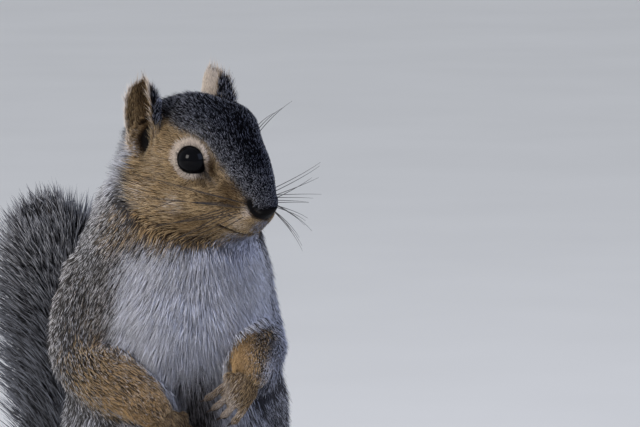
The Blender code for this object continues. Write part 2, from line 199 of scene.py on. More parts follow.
# How deep the coat is, how long its hairs and how wide a tuft, at named places. Sided places have a twin.
coat = dict(
    head={
        "nose": ((0, -31, -11), 0.1, 0.8, 0.20),
        "eye": ((19, -4, 1), 0.0, 1.3, 0.20),
        "bridge": ((0, -26, -2), 0.45, 2.0, 0.22),
        "forehead": ((0, -11, 12), 0.9, 3.2, 0.26),
        "crown": ((0, 8, 19), 1.5, 4.6, 0.30),
        "nape": ((0, 28, 11), 3.0, 7.5, 0.34),
        "brow": ((13, -6, 12), 0.7, 2.4, 0.24),
        "lip": ((6, -26, -16), 0.4, 1.7, 0.20),
        "chin": ((0, -22, -26), 0.5, 2.0, 0.22),
        "whisker pad": ((10, -20, -12), 0.5, 2.4, 0.22),
        "inner eye": ((15, -11, 0), 0.4, 1.5, 0.20),
        "under eye": ((18, -4, -8), 0.5, 2.3, 0.22),
        "cheek": ((20, 3, -13), 1.2, 4.4, 0.26),
        "jaw": ((14, 0, -25), 1.7, 5.5, 0.30),
        "temple": ((20, 9, 5), 0.9, 3.0, 0.24),
        "behind cheek": ((21, 20, -17), 2.4, 7.0, 0.32),
        "ear root": ((19, 16, 8), 0.8, 2.8, 0.24),
    },
    ear={
        "ear": ((19, 24, 12), 0.35, 2.0, 0.20),
        "ear tip": ((19.6, 26, 23), 0.5, 2.6, 0.20),
    },
    trunk={
        "neck side": ((26, 0, 178), 3.2, 7.0, 0.29),
        "neck back": ((4, 24, 182), 3.6, 8.5, 0.30),
        "throat": ((10, -22, 170), 3.0, 9.0, 0.29),
        "chest": ((1, -33, 145), 4.8, 13.0, 0.31),
        "belly": ((0, -38, 95), 5.5, 13.5, 0.33),
        "groin": ((0, -30, 40), 4.5, 10.0, 0.31),
        "shoulder": ((34, 0, 160), 3.6, 7.6, 0.30),
        "flank": ((42, 5, 115), 4.2, 8.6, 0.32),
        "back": ((2, 38, 130), 4.8, 12.0, 0.31),
        "rump": ((0, 42, 45), 5.0, 13.0, 0.33),
    },
    arm={
        "upper right": ((-40, 0, 140), 3.6, 7.6, 0.30),
        "upper left": ((38, 0, 142), 3.4, 7.6, 0.30),
        "elbow right": ((-40, -12, 122), 3.0, 7.2, 0.30),
        "elbow left": ((36, -14, 128), 3.0, 7.2, 0.30),
        "forearm right": ((-25, -30, 115), 2.2, 6.4, 0.28),
        "forearm left": ((29, -32, 128), 2.0, 5.8, 0.28),
        "wrist right": ((-13, -45, 109), 0.9, 3.4, 0.26),
        "wrist left": ((21, -46, 122), 0.9, 3.4, 0.26),
    },
    paw={
        "palm right": ((-8, -47, 103), 0.4, 2.2, 0.22),
        "palm left": ((16, -48, 115), 0.4, 2.2, 0.22),
        "fingers right": ((-2, -46, 93), 0.2, 1.1, 0.18),
        "fingers left": ((9, -47, 107), 0.2, 1.1, 0.18),
    },
    leg={
        "haunch": ((36, 10, 70), 4.6, 11.5, 0.40),
        "knee": ((44, -22, 42), 3.6, 9.0, 0.38),
        "shank": ((44, 0, 18), 2.2, 6.5, 0.34),
        "heel": ((35, 16, 8), 1.0, 4.0, 0.30),
    },
    foot={
        "instep": ((35, 0, 9), 0.7, 3.2, 0.28),
        "sole": ((36, -12, 0), 0.1, 1.4, 0.24),
        "toes": ((38, -44, 6), 0.3, 1.6, 0.24),
    },
)
sidedGroups = ("head", "ear", "leg", "foot")
groupOf = dict(head="head", nose="head", eye="head", ear="ear", neck="trunk", trunk="trunk")
groupOf.update(foreleg="arm", forepaw="paw", thigh="leg", hind="foot", tail="tail")

# The bony tail inside its plume: centre, then radius
tailStations = [
    (0, 22, 27, 7.0),
    (0, 38, 20, 6.6),
    (0, 56, 18.2, 6.2),
    (-6, 82, 26, 5.8),
    (-13, 97, 60, 5.4),
    (-17, 95, 98, 4.8),
    (-24, 84, 132, 4.0),
    (-32, 71, 157, 2.8),
    (-36, 65, 167, 1.6),
]
tailPath = spline(tailStations, 8)


def placesOf(group):  # every place of a group, twins included, in the squirrel's frame
    centres, values = [], []
    for name, (place, *sizes) in coat[group].items():
        sided = group in sidedGroups or name in ("neck side", "shoulder", "flank")
        for side in (1, -1) if sided and place[0] else (1,):
            where = np.array(place, float) * (side, 1, 1)
            centres.append(fromHead(where) if group in ("head", "ear") else where)
            values.append(sizes)
    return np.array(centres), np.array(values)


def coatAt(points, groups):  # depth, length and width of the coat at each point
    found = np.zeros((len(points), 3))
    for group in coat:
        chosen = groups == group
        centres, values = placesOf(group)
        apart = ((points[chosen][:, None] - centres[None]) ** 2).sum(-1)
        weights = 1 / (apart + 6) ** 2
        found[chosen] = (weights @ values) / weights.sum(1)[:, None]
    found[groups == "tail"] = (0, 20, 0.5)
    return found


def mergedNode(name, swell):
    bm = bmesh.new()
    bm.from_mesh(nodes[name].data)
    bmesh.ops.remove_doubles(bm, verts=bm.verts, dist=1e-6)
    bm.normal_update()
    moved = [vertex.co + vertex.normal * swell * 0.001 for vertex in bm.verts]
    faces = [[vertex.index for vertex in face.verts] for face in bm.faces]
    bm.free()
    return fromModel(moved), faces


def joined(parts):
    points, faces = [], []
    for somePoints, someFaces in parts:
        start = sum(len(block) for block in points)
        points.append(np.asarray(somePoints))
        faces += [[start + index for index in face] for face in someFaces]
    return np.vstack(points), faces


def remeshed(made, grain):
    fuse = made.modifiers.new("fuse", "REMESH")
    fuse.mode, fuse.voxel_size = "VOXEL", grain * 0.001
    return applied(made)


sides = ("left", "right")
fleshNames = ["trunk", "neck", "head", "nose"]
fleshNames += [f"{part}_{side}" for part in ("ear", "foreleg", "thigh") for side in sides]
skinShape = dict(swell=0.25, firstGrain=0.85, grain=0.62, soften=14, keep=0.36)

# First the whole outline as one closed surface, then drawn in by the depth of the coat
parts, owners = [], []
for name in fleshNames + ["eye_left", "eye_right"]:
    parts.append(mergedNode(name, skinShape["swell"]))
    owners += [groupOf[name.split("_")[0]]] * len(parts[-1][1])
owners = np.array(owners)
allPoints, allFaces = joined(parts)
outlineTree = BVHTree.FromPolygons(allPoints.tolist(), allFaces)
outline = remeshed(meshObject("outline", allPoints, allFaces), skinShape["firstGrain"])
points, normals, edges = arrays(outline)
groups = owners[[outlineTree.find_nearest(point)[2] for point in points]]
fine = np.isin(groups, ("ear", "paw", "foot"))
points = softened(points, edges, skinShape["soften"], np.where(fine, 0.18, 0.5))
movePoints(outline, points)
points, normals, edges = arrays(outline)
normals = unit(softened(normals, edges, 4))
depth = softened(coatAt(points, groups)[:, 0], edges, 6)
inner = points - normals * depth[:, None]
inner = softened(inner, edges, 3, np.where(fine, 0.1, 0.5))
print("outline:", len(points), "points")


# The limbs' ends, as on the solids: where each wrist or sole starts, which way the digits point and spread
paw = dict(
    right=dict(wrist=(-11, -47.5, 107.5), aim=(0.56, 0.02, -0.82), spread=(-0.80, -0.1, -0.55)),
    left=dict(wrist=(19.6, -48, 120.8), aim=(-0.68, -0.02, -0.73), spread=(0.70, -0.1, -0.70)),
    reach=(7.6, 8.6, 8.6, 7.4), gap=3.6, bend=0.3, radius=1.3,
)
foot = dict(
    sole=[
        (33, 17, 5.5, 4.2, 4.6), (34, 4, 5, 4.8, 4.8), (35.5, -14, 4.4, 5.4, 4.4),
        (37.5, -30, 3.8, 6.2, 3.7), (38.5, -37, 3.4, 6, 3.2),
    ],
    reach=(12, 15.5, 16.5, 15, 11.5), gap=3.0, bend=0.07, radius=1.6,
)


def squareTo(vector, aim):
    return unit(np.asarray(vector, float) - aim * aim.dot(vector))


def digitPaths(root, aim, spread, under, size):  # each digit's middle line, from the palm to the claw
    paths = []
    for k, reach in enumerate(size["reach"]):
        off = k - (len(size["reach"]) - 1) / 2
        start = root + spread * off * size["gap"]
        out = unit(aim + spread * off * 0.11)
        bends = ((-0.3, 0), (0, 0), (0.45, 0), (0.8, 0.35), (0.98, 1))
        paths.append([start + out * reach * t + under * reach * size["bend"] * b for t, b in bends])
    return paths


def digitTube(path, radius):  # with a knuckle and a padded tip
    rows = spline([(*place, radius * share) for place, share in zip(path, (1.1, 1.12, 1.0, 1.12, 0.92))], 4)
    return tube(rows[:, :3], rows[:, 3], 12)


def blob(centre, radii, axes=np.eye(3)):  # a rounded mass
    stations = np.linspace(-88, 88, 15)
    path = [np.zeros(3) + (0, 0, math.sin(math.radians(a))) for a in stations]
    points, faces = tube(path, [math.cos(math.radians(a)) for a in stations], 20, (1, 0, 0))
    return points * radii @ np.array(axes) + centre, faces


paws, feet, digits = [], [], {}
for side, sign in (("left", 1), ("right", -1)):
    wrist, aim = np.array(paw[side]["wrist"]), unit(np.array(paw[side]["aim"]))
    spread, under = squareTo(paw[side]["spread"], aim), squareTo((0, 1, 0), aim)
    axes = (spread, under, aim)
    paws.append(blob(wrist + aim * 3.6, (6.1, 3.6, 7.2), axes))
    paws.append(blob(wrist + aim * 3 - spread * 6.0, (2.1, 2.0, 2.3), axes))
    digits["fore", side] = digitPaths(wrist + aim * 7, aim, spread, under, paw), under
    sole = spline([(x * sign, y, z, w, d) for x, y, z, w, d in foot["sole"]], 5)
    feet.append(tube(sole[:, :3], sole[:, 3:], 20, (1, 0, 0)))
    aim = unit(np.array((sign * 0.09, -1, -0.03)))
    root, down = sole[-1, :3] + (0, 1, 0.4), np.array((0, 0, -1.0))
    digits["hind", side] = digitPaths(root, aim, squareTo((sign, 0, 0), aim), down, foot), down
for (limb, side), (paths, under) in digits.items():
    ends, size = (paws, paw) if limb == "fore" else (feet, foot)
    ends.extend(digitTube(path, size["radius"]) for path in paths)
earRoots = [blob(fromHead((16.0 * sign, 22.0, 0.5)), (3.4, 5.5, 6.0), headTurn.T) for sign in (1, -1)]
core = tube(tailPath[:, :3], tailPath[:, 3])
bodySkin = (inner, [list(face.vertices) for face in outline.data.polygons])
skin = remeshed(meshObject("skin", *joined([bodySkin, core, *paws, *feet, *earRoots])), skinShape["grain"])
bpy.data.objects.remove(outline)

# What each point of the skin belongs to
known = np.vstack([inner] + [points for points, faces in [core, *paws, *feet, *earRoots]])
knownGroups = list(groups) + ["tail"] * len(core[0]) + ["paw"] * sum(len(points) for points, faces in paws)
knownGroups += ["foot"] * sum(len(points) for points, faces in feet)
knownGroups += ["head"] * sum(len(points) for points, faces in earRoots)
knownGroups = np.array(knownGroups)
knownTree = treeOf(known)


def groupsAt(points):
    return knownGroups[[knownTree.find(point)[1] for point in points]]


def thinned(made, weights, keep):  # fewer faces where the weight is high
    made.vertex_groups.new(name="thin")
    for value in np.unique(weights):
        chosen = np.flatnonzero(weights == value).tolist()
        made.vertex_groups["thin"].add(chosen, float(value), "REPLACE")
    thin = made.modifiers.new("thin", "DECIMATE")
    thin.ratio, thin.vertex_group = keep, "thin"
    applied(made)
    made.vertex_groups.clear()


# Places on the face, on its left side, in the head's frame
face = dict(
    nostril=(4.9, -29.7, -11.3),
    nostrilTail=(6.0, -28.3, -9.7),
    wing=(4.0, -30.2, -8.8),
    mouth=[(0, -26.0, -22.6), (3.4, -24.6, -23.2), (7.5, -21.1, -22.2), (10.9, -15.6, -20.8)],
    philtrum=[(0, -32.5, -14.0), (0, -30.5, -16.5), (0, -28.4, -19.5), (0, -26.2, -22.4)],
    hollow=dict(centre=(0, 22.4, 8.0), radii=(99, 3.6, 6.0)),
    canal=dict(centre=(0, 19.7, 0.7), radii=(99, 3.5, 5.5)),
)


def bothSides(points):  # head places with everything on the left side
    return mirrored(toHead(points), np.sign(toHead(points)[:, :1]))


def nearLine(points, line):  # distance from a bent line
    line = np.array(line, float)
    best = np.full(len(points), 1e9)
    for start, end in zip(line, line[1:]):
        way = end - start
        share = np.clip(((points - start) @ way) / way.dot(way), 0, 1)
        best = np.minimum(best, length(points - start - share[:, None] * way))
    return best


looks = unit(np.array(eye["looks"]))
toCorner = unit(np.array((0, -1, -0.42)) - looks * looks.dot((0, -1, -0.42)))
overCorner = np.cross(looks, toCorner)


# From a head place on the left: its offset and distance from the eye, its angle from the gaze,
# the opening's angle there, its angle round the gaze and the way out from it
def aroundEye(local):
    away = local - eye["place"]
    far = length(away)
    angle = np.degrees(np.arccos(np.clip(away @ looks / np.maximum(far, 1e-6), -1, 1)))
    around = np.degrees(np.arctan2(away @ overCorner, away @ toCorner))
    opening = eye["opening"] + eye["corner"] * bell(around, 21)
    opening += 3 * bell(np.abs(around) - 180, 40) + 1.5 * np.cos(np.radians(2 * around))
    across = unit(away - (away @ looks)[:, None] * looks)
    return away, far, angle, opening, around, across


def refined(made, wanted):  # smaller faces where wanted
    bm = bmesh.new()
    bm.from_mesh(made.data)
    points = fromModel([vertex.co for vertex in bm.verts])
    chosen = wanted(points)
    edges = [e for e in bm.edges if chosen[e.verts[0].index] and chosen[e.verts[1].index]]
    bmesh.ops.subdivide_edges(bm, edges=edges, cuts=1, use_grid_fill=True)
    bm.to_mesh(made.data)
    bm.free()


def lidRim(points):
    _, far, angle, opening, _, _ = aroundEye(bothSides(points))
    return (far < 9) & (np.abs(angle - opening) < 7)


points, normals, edges = arrays(skin)
skinGroups = groupsAt(points)
small = np.isin(skinGroups, ("paw", "foot", "ear"))
points = softened(points, edges, 6, np.where(small, 0.3, 0.5))
points[:, 2] = np.where(skinGroups == "foot", np.maximum(points[:, 2], 0.15), points[:, 2])
movePoints(skin, points)
onFace = (skinGroups == "head") & (toHead(points)[:, 1] < 18)
thinned(skin, np.where(small | onFace, 0.0, 1.0), skinShape["keep"])
refined(skin, lidRim)

# The eyelids: a thin lip on the ball round the opening, and nothing over the opening itself
points, normals, edges = arrays(skin)
local = bothSides(points)
side = np.sign(toHead(points)[:, :1])
away, far, angle, opening, around, acrossGaze = aroundEye(local)
overEye = (far < eye["radius"] + 9) & (angle < 100)
past = angle - opening
lip = eye["radius"] + 0.3 + 0.5 * ramp(0, 9, past)
slope = ramp(0, 24, past)
raised = lip * (1 - slope) + np.maximum(far, lip) * slope
reach = np.where(past < -2.4, eye["radius"] - 1.6, raised)
snap = np.abs(past) <= 2.4
reach = np.where(snap, eye["radius"] + 0.18, reach)
aim = np.radians(np.where(snap, opening, angle))[:, None]
ray = looks * np.cos(aim) + acrossGaze * np.sin(aim)
local = np.where(overEye[:, None], eye["place"] + ray * reach[:, None], local)
points = fromHead(mirrored(local, side))
movePoints(skin, points)

# Nostrils, the cleft below the nose, the mouth and the ear's passage, pushed in along the normals
points, normals, edges = arrays(skin)
local = bothSides(points)
skinGroups = groupsAt(points)
push = -1.9 * bell(length(local - face["nostril"]), 1.25)
push -= 1.0 * bell(length(local - face["nostrilTail"]), 0.8)
push += 0.45 * bell(length(local - face["wing"]), 1.6)
push -= 0.6 * bell(nearLine(local, face["philtrum"]), 0.5)
mouthGap = nearLine(local, face["mouth"])
push -= 0.9 * ramp(-15, -20, local[:, 1]) * bell(mouthGap, 0.65)
push += 0.35 * bell(mouthGap - 1.7, 1.0) * (local[:, 2] > -22.5)
points = points + normals * push[:, None]
beside = (skinGroups == "head") * (local[:, 0] > 12)
canal, hollow = (near(local, *face[name].values(), 0.5) * beside for name in ("canal", "hollow"))
dent = 3.4 * canal + 2.6 * hollow * (1 - canal)
points -= dent[:, None] * side * headTurn[:, 0]
movePoints(skin, softened(points, edges, 2, np.where(mouthGap < 3, 0.4, np.where(dent > 0, 0.3, 0))))
points, normals, edges = arrays(skin)
local = bothSides(points)
print("skin:", len(points), "points,", triangles(skin), "triangles")


# The camera at the model's own height, a long lens from in front and a little to the right
view = dict(
    azimuth=-12, elevation=6, distance=2.2, width=0.24,
    mark=(0, 0, 225), right=0.05625, below=0.0455625,  # a place on the body, and the view's centre from it
)


def makeCamera():
    a, e = math.radians(view["azimuth"]), math.radians(view["elevation"])
    back = Vector((math.sin(a) * math.cos(e), -math.cos(a) * math.cos(e), math.sin(e)))
    right = Vector((math.cos(a), math.sin(a), 0))
    up = back.cross(right)
    target = Vector(toModel(view["mark"])) + right * view["right"] - up * view["below"]
    camera = bpy.data.objects.new("camera", bpy.data.cameras.new("camera"))
    camera.data.sensor_width, camera.data.lens = 36, 36 * view["distance"] / view["width"]
    camera.data.clip_start, camera.data.clip_end = 0.05, 50
    camera.location = target + back * view["distance"]
    camera.rotation_euler = (-back).to_track_quat("-Z", "Y").to_euler()
    scene.collection.objects.link(camera)
    scene.camera = camera
    return back, right, up


back, right, up = makeCamera()

# The lie of the coat: lines that the hairs follow, root to tip, over each group of the body
lieLines = dict(
    head=[
        [(0, -33, -8), (0, -28, -1), (0, -18, 8), (0, -4, 18), (0, 14, 19), (0, 30, 12)],
        [(5, -31, -8), (10, -21, 0), (13, -9, 10), (16, 6, 13), (17, 20, 8)],
        [(6, -30, -12), (13, -19, -8), (18, -8, -8), (21, 4, -8), (22, 18, -10), (21, 30, -12)],
        [(5, -28, -17), (12, -17, -17), (18, -4, -19), (21, 8, -22), (22, 22, -26)],
        [(3, -26, -23), (8, -17, -26), (13, -5, -29), (16, 8, -33)],
        [(0, -25, -25), (0, -16, -29), (0, -4, -34)],
    ],
    ear=[[(17, 19, 0), (18, 22, 12), (19.6, 26.8, 26)], [(22, 24, 0), (21, 27, 12), (20, 27, 26)]],
    trunk=[
        [(8, 16, 196), (5, 30, 178), (2, 36, 150), (1, 41, 110), (0, 46, 70), (0, 46, 40), (0, 40, 20)],
        [
            (-16, 6, 196), (-28, 4, 178), (-38, 2, 158), (-42, 6, 130), (-45, 8, 95),
            (-44, 10, 60), (-34, 12, 25),
        ],
        [(30, 4, 190), (34, 2, 175), (40, 2, 158), (43, 6, 130), (46, 8, 95), (44, 10, 60), (34, 12, 25)],
        [
            (14, -26, 176), (6, -32, 160), (1, -34, 145), (0, -37, 120), (0, -41, 90),
            (0, -38, 55), (0, -26, 25),
        ],
        [(-4, -27, 172), (-12, -28, 158), (-21, -28, 143), (-29, -26, 126), (-33, -24, 105), (-30, -26, 60)],
        [(10, -28, 172), (14, -29, 158), (19, -29, 143), (24, -30, 122), (29, -30, 95), (24, -30, 55)],
    ],
    arm=[
        [(-36, 2, 166), (-42, 0, 142), (-42, -12, 124), (-32, -24, 117), (-21, -36, 114), (-8, -50, 102)],
        [(-26, -12, 158), (-30, -16, 138), (-28, -22, 128), (-21, -31, 120), (-14, -42, 112), (-6, -50, 101)],
        [(34, 2, 166), (39, 0, 145), (39, -10, 131), (33, -24, 127), (26, -38, 125), (14, -51, 112)],
        [(26, -12, 158), (27, -16, 142), (27, -22, 135), (25, -31, 131), (20, -42, 125), (12, -50, 112)],
    ],
    paw=[
        [(-14, -42, 112), (-11, -47.5, 107.5), (-6, -48, 100), (1, -46, 91)],
        [(22, -42, 125), (19.6, -48, 120.8), (13, -49, 113), (6, -47, 105)],
    ],
    leg=[
        [(20, 34, 80), (34, 26, 72), (44, 6, 62), (46, -14, 48), (42, -28, 36), (38, -30, 22)],
        [(30, 30, 40), (40, 12, 34), (46, -6, 30), (42, -20, 22), (38, -24, 10)],
        [(24, -20, 60), (28, -26, 48), (30, -30, 36), (32, -32, 22)],
    ],
    foot=[[(34, 18, 8), (35, -2, 8), (37, -22, 7), (38, -40, 5), (39, -54, 3)]],
)


def guidesOf(group):  # places along a group's lines, and the way the coat lies there
    places, ways = [], []
    for line in lieLines[group]:
        rows = spline(line, 5)
        for side in (1, -1) if group in sidedGroups else (1,):
            turned = fromHead(rows * (side, 1, 1)) if group in ("head", "ear") else rows * (side, 1, 1)
            places.append(turned)
            ways.append(unit(np.gradient(turned, axis=0)))
    return np.vstack(places), np.vstack(ways)


def lieAt(points, groups):
    lie = np.zeros((len(points), 3))
    for group in lieLines:
        chosen = np.flatnonzero(groups == group)
        places, ways = guidesOf(group)
        for some in np.array_split(chosen, max(1, len(chosen) // 20000)):
            apart = ((points[some][:, None] - places[None]) ** 2).sum(-1)
            weights = 1 / (apart + 4) ** 1.6
            lie[some] = weights @ ways / weights.sum(1)[:, None]
    return lie


sizes = coatAt(points, skinGroups)
lie = lieAt(points, skinGroups)
away, far, angle, opening, around, acrossGaze = aroundEye(local)
past = angle - opening
radial = mirrored(acrossGaze, side) @ headTurn.T
nearLid = (1 - ramp(4, 30, past)) * (far < 11) * (skinGroups == "head")
lie = unit(lie) * (1 - 0.75 * nearLid[:, None]) + radial * 0.75 * nearLid[:, None]

# On the tail the hairs stand out to both sides and towards the tip, as far as the plume reaches
nearPath = treeOf(tailPath[:, :3])
tailPoints = np.flatnonzero(skinGroups == "tail")
station = np.array([nearPath.find(point)[1] for point in points[tailPoints]])
tailAlong = unit(np.gradient(tailPath[:, :3], axis=0))[station]
outwards = points[tailPoints] - tailPath[station, :3]
outwards = unit(outwards - (outwards * tailAlong).sum(1)[:, None] * tailAlong)
across = np.array((1.0, 0, 0)) - tailAlong * tailAlong[:, :1]
sideways = (outwards * unit(across)).sum(1)
lean = np.radians(28 + 20 * np.abs(sideways)) * (1 - 0.55 * ramp(0.75, 1.0, station / len(tailPath)))
lie[tailPoints] = tailAlong * np.cos(lean)[:, None] + outwards * np.sin(lean)[:, None]
flat = lie - normals * (lie * normals).sum(1)[:, None]
flat[tailPoints] = lie[tailPoints]
lie = unit(softened(unit(flat), edges, 3))
sizes = softened(sizes, edges, 5)
lift = np.clip(sizes[:, 0] / sizes[:, 1], 0.04, 0.6)
lift[tailPoints] = 0
hairLength = sizes[:, 1]
plumeTree = BVHTree.FromPolygons(*mergedNode("tail", 0))


def reachOf(root, way, furthest=46):  # from the root to where the hair leaves the plume
    gone = 0.1
    for _ in range(3):
        _, out, _, step = plumeTree.ray_cast(Vector(root + way * gone), Vector(way), furthest - gone)
        if step is None:
            break
        gone += step + 0.1
        if out @ Vector(way) > 0:
            return gone
    return furthest if gone > 0.1 else 14


hairLength[tailPoints] = [np.clip(reachOf(points[i], lie[i]) + 0.6, 8, 41) for i in tailPoints]
print("the lie of the coat is set")

# The markings, each as a share from 0 to 1 at every point of the skin
marking = dict(
    crownEdge=[
        (-36, -16), (-31.5, -13.5), (-28.8, -9.0), (-26.0, -6.9), (-22.3, -3.4), (-17.9, 0.6), (-11.3, 5.3),
        (-5.5, 9.5), (3.5, 11.4), (9.9, 12.6), (18, 12.6), (24, 7), (33, -2),
    ],
    cheekEdge=[(-31, -10), (-28.5, -2), (-27, 5), (-22, 13), (-15, 19.5), (-8, 22.5), (5, 23)],
    chestHalfWidth=[
        (185, 46), (168, 50), (155, 54), (140, 55), (125, 50), (110, 44), (90, 42), (60, 46), (20, 60),
    ],
    chestMiddle=5, ringWidth=2.5,
)


def line(values, rows):
    rows = np.array(sorted(rows), float)
    return np.interp(values, rows[:, 0], rows[:, 1])


inHead = toHead(points)
x, y, z = points.T
onHead, onEar, onTrunk, onArm = (skinGroups == name for name in ("head", "ear", "trunk", "arm"))
onPaw, onLeg, onFoot, onTail = (skinGroups == name for name in ("paw", "leg", "foot", "tail"))
aboveEdge = local[:, 2] - line(local[:, 1], marking["crownEdge"])
crown = ramp(-6.0, 5.2, aboveEdge) * (onHead | onTrunk)
crown *= ramp(38, 24, local[:, 1])
crown = np.maximum(crown, near(local, (4.0, -30.2, -10.2), (3.6, 2.4, 2.4), 0.5) * onHead)
tan = ramp(2.5, -2.5, local[:, 1] - line(local[:, 2], marking["cheekEdge"])) * ramp(-31, -28, local[:, 2])
tan = (1 - crown) * np.maximum(tan, near(local, (0, 23, 2), (99, 5.5, 10), 0.3) * onHead)

# The white chest, whose edges wander, with painted shade in a furrow between the forelegs
front = np.degrees(np.arctan2(x - 1.5, 2 - y))
halfWidth = line(z, marking["chestHalfWidth"])
wander = 3.6 * np.sin(z / 5.0) + 2.4 * np.sin(z / 2.3 + 1)
leftEdge = 17 * ramp(0, 14, x) * ramp(124, 158, z)
leftEdge *= 1 - 0.5 * ramp(166, 182, z)
fromEdge = np.abs(front - marking["chestMiddle"] + wander) - halfWidth - leftEdge
white = ramp(14, -14, fromEdge) * (onTrunk | onHead | onLeg)
white *= ramp(-26.0, -33.4, inHead[:, 2] - 0.18 * (inHead[:, 0] + 12))
innerLeg = ramp(0.2, -0.3, normals[:, 0] * np.sign(x))
white = np.where(onLeg, white * innerLeg * 0.6, white)
# Painted shade: in the furrow between the forelegs, and on the belly by the left haunch, where the white
# turns to darker grey
furrowShade = near(points, (3, -36, 105), (11, 14, 24), 0.6)
haunchShade = near(points, (34, -24, 102), (14, 14, 26), 0.9)
white *= (1 - furrowShade) * (1 - 0.9 * haunchShade)
# A blue-grey tint: painted shade in the furrow, by the haunch and on the body's left side; on the crown's top
# it is the fur's own darker slate
leftSideShade = 0.3 * ramp(22, 38, x) * ramp(60, 90, z) * ~onHead
crownTop = 0.75 * crown * ramp(3, 9, aboveEdge) * ramp(-31, -22, local[:, 1]) * onHead
cool = highest(0.4 * furrowShade, 0.55 * haunchShade, leftSideShade, crownTop)
shoulderTan = bell(np.abs(front - 5) - halfWidth - 4, 14) * onTrunk
nape = near(points, (-18, -13, 175), (9, 12, 11), 0.7) * onTrunk
throat = near(inHead, (-26, 0, -31.0), (14, 15, 6), 0.6) * onTrunk
tan = highest(tan, 0.42 * nape, 0.55 * throat)
warm = np.maximum(shoulderTan * ramp(90, 150, z) * 0.3, 0.25 * nape)
ruff = near(local, (19, 30, -12), (10, 9, 16), 0.5) * (1 - onEar)
white = np.maximum(white, 0.66 * ruff * ramp(38, 27, local[:, 1]))

# The limbs: tan and rust forelegs, the left one whiter outside as painted light, and rust paws and feet
rightArm, leftArm = onArm & (x < 0), onArm & (x >= 0)
nearWrist = ramp(-14, -40, y)
lowerEdge = 0.5 * ramp(0.1, -0.7, normals[:, 2] - 0.35 * normals[:, 1])
innerEdge = ramp(0.7, -0.8, normals[:, 0]) * ramp(-6, -18, y)
lowerEdge *= ramp(-4, -18, y)
innerSide = np.maximum(0.75 * ramp(0.9, -0.3, normals[:, 0]), 0.5 * nearWrist)
rufous = near(local, (13, -12, -21), (9, 12, 6)) * 0.42 + near(local, (9, -22, -12), (6, 8, 7)) * 0.25
for group, rufousThere, tanThere in (
    (rightArm, 0.25 * nearWrist + lowerEdge, 0.12 + 0.55 * ramp(-3, -26, y)),
    (leftArm, 0.85 * innerEdge + 0.15 * nearWrist, innerSide),
    (onPaw, 0.25, 0.9),
    (onFoot, 0.4, tan),
):
    rufous = np.where(group, np.clip(rufousThere, 0, 1), rufous)
    tan = np.where(group, tanThere, tan)
warm = np.where(onArm, 0.1 + 0.3 * nearWrist, warm)
# Painted light: whiter hair on the outer side of the left foreleg
white = np.maximum(white, 0.52 * leftArm * ramp(0.4, 0.95, normals[:, 0]))
fingers = near(points, (-4, -47, 97), (8, 9, 6), 0.4) + near(points, (11, -48, 111.5), (8, 9, 6), 0.4)
fingers *= onPaw
innerPaw = onPaw * (x > 4) * (z > 100) * ramp(0.35, -0.65, normals[:, 0])

# The pale ring round the eye, narrower at its front corner
onLid = (far < eye["radius"] + 4.5) & onHead
aim = np.radians(opening)[:, None]
rimGap = length(away - (looks * np.cos(aim) + acrossGaze * np.sin(aim)) * (eye["radius"] + 0.3))
ringWidth = marking["ringWidth"] - 1.7 * bell(around, 75) - 0.5 * bell(around + 85, 45)
pale = np.where(onLid, ramp(ringWidth + 0.4, ringWidth - 0.4, rimGap), 0)
pale = highest(pale, 0.58 * fingers, 0.6 * innerPaw)

# The ear is a scoop: dark inside, deepened with painted shade, frosted on its rolled front edge, cream
# behind, with a pale fringe
climb = np.clip((local[:, 2] + 1.5) / 23.8, 0, 1)[:, None]
scoopAxis = np.array((17.2, 15.5, -0.7)) + np.array((2.6, 8.0, 23.8)) * climb
scoopBack = (local - scoopAxis) @ np.array((0.305, 0.894, -0.333))
climb = climb[:, 0]
mirroredNormals = mirrored(normals @ headTurn, side)
inward = (unit(scoopAxis - local) * mirroredNormals).sum(1)
earRim = onEar * ramp(0.5, 0.15, np.abs(inward))
frontRoll = onEar * ramp(0.0, -0.4, inward) * ramp(-1.8, -3.4, scoopBack) * ramp(0.25, 0.5, climb)
insideEar = onEar * ramp(0.15, 0.55, inward)
lowFront = ramp(0.5, 0.25, climb) * ramp(3, 0, scoopBack)
earPale = np.clip(ramp(0.1, -0.4, inward) * 0.9 + earRim, 0, 1) * (1 - frontRoll) * (1 - 0.8 * lowFront)
pale = np.where(onEar, earPale, pale) * np.where(onEar, 1 - 0.9 * insideEar, 1)
crown = np.where(onEar, frontRoll * 0.9, crown)
tan = np.where(onEar, 1.0, tan)
# Painted shade in darker brown: deep inside the ear's scoop and in the chest's furrow
dusk = np.maximum(insideEar * 0.8 * (1 - 0.6 * ramp(3, 8, scoopBack)), 0.95 * furrowShade)

# Bare skin on the nose, the lids, the lips, in the ear's passage and under the feet; the near black in the
# ear's passage is painted shade
nostrilLine = [(7.0, -27.3, -9.2), (6.4, -28.5, -11.8), (4.6, -29.9, -13.8), (2.0, -31.0, -14.6)]
nostrilGap = nearLine(local, nostrilLine)
beside = onHead * (local[:, 0] > 11)
passage = face["canal"]["centre"]
nosePad = near(local, (0, -31.6, -13.2), (4.7, 3.6, 3.2), 0.25)
bare = highest(
    np.maximum(nosePad, ramp(1.7, 1.0, nostrilGap)) * onHead,
    np.where(onLid, ramp(2.2, 0.8, past), 0),
    ramp(1.1, 0.6, mouthGap) * ramp(-15, -18, local[:, 1]),
    # The ear's passage, painted near black as shade
    near(local, passage, face["canal"]["radii"], 0.25) * beside,
)
# Painted shade in the ear's hollow and round its passage
dusk = highest(
    dusk, 0.8 * near(local, *face["hollow"].values()) * beside,
    0.95 * near(local, passage, (99, 4.6, 6.6), 0.2) * beside,
)
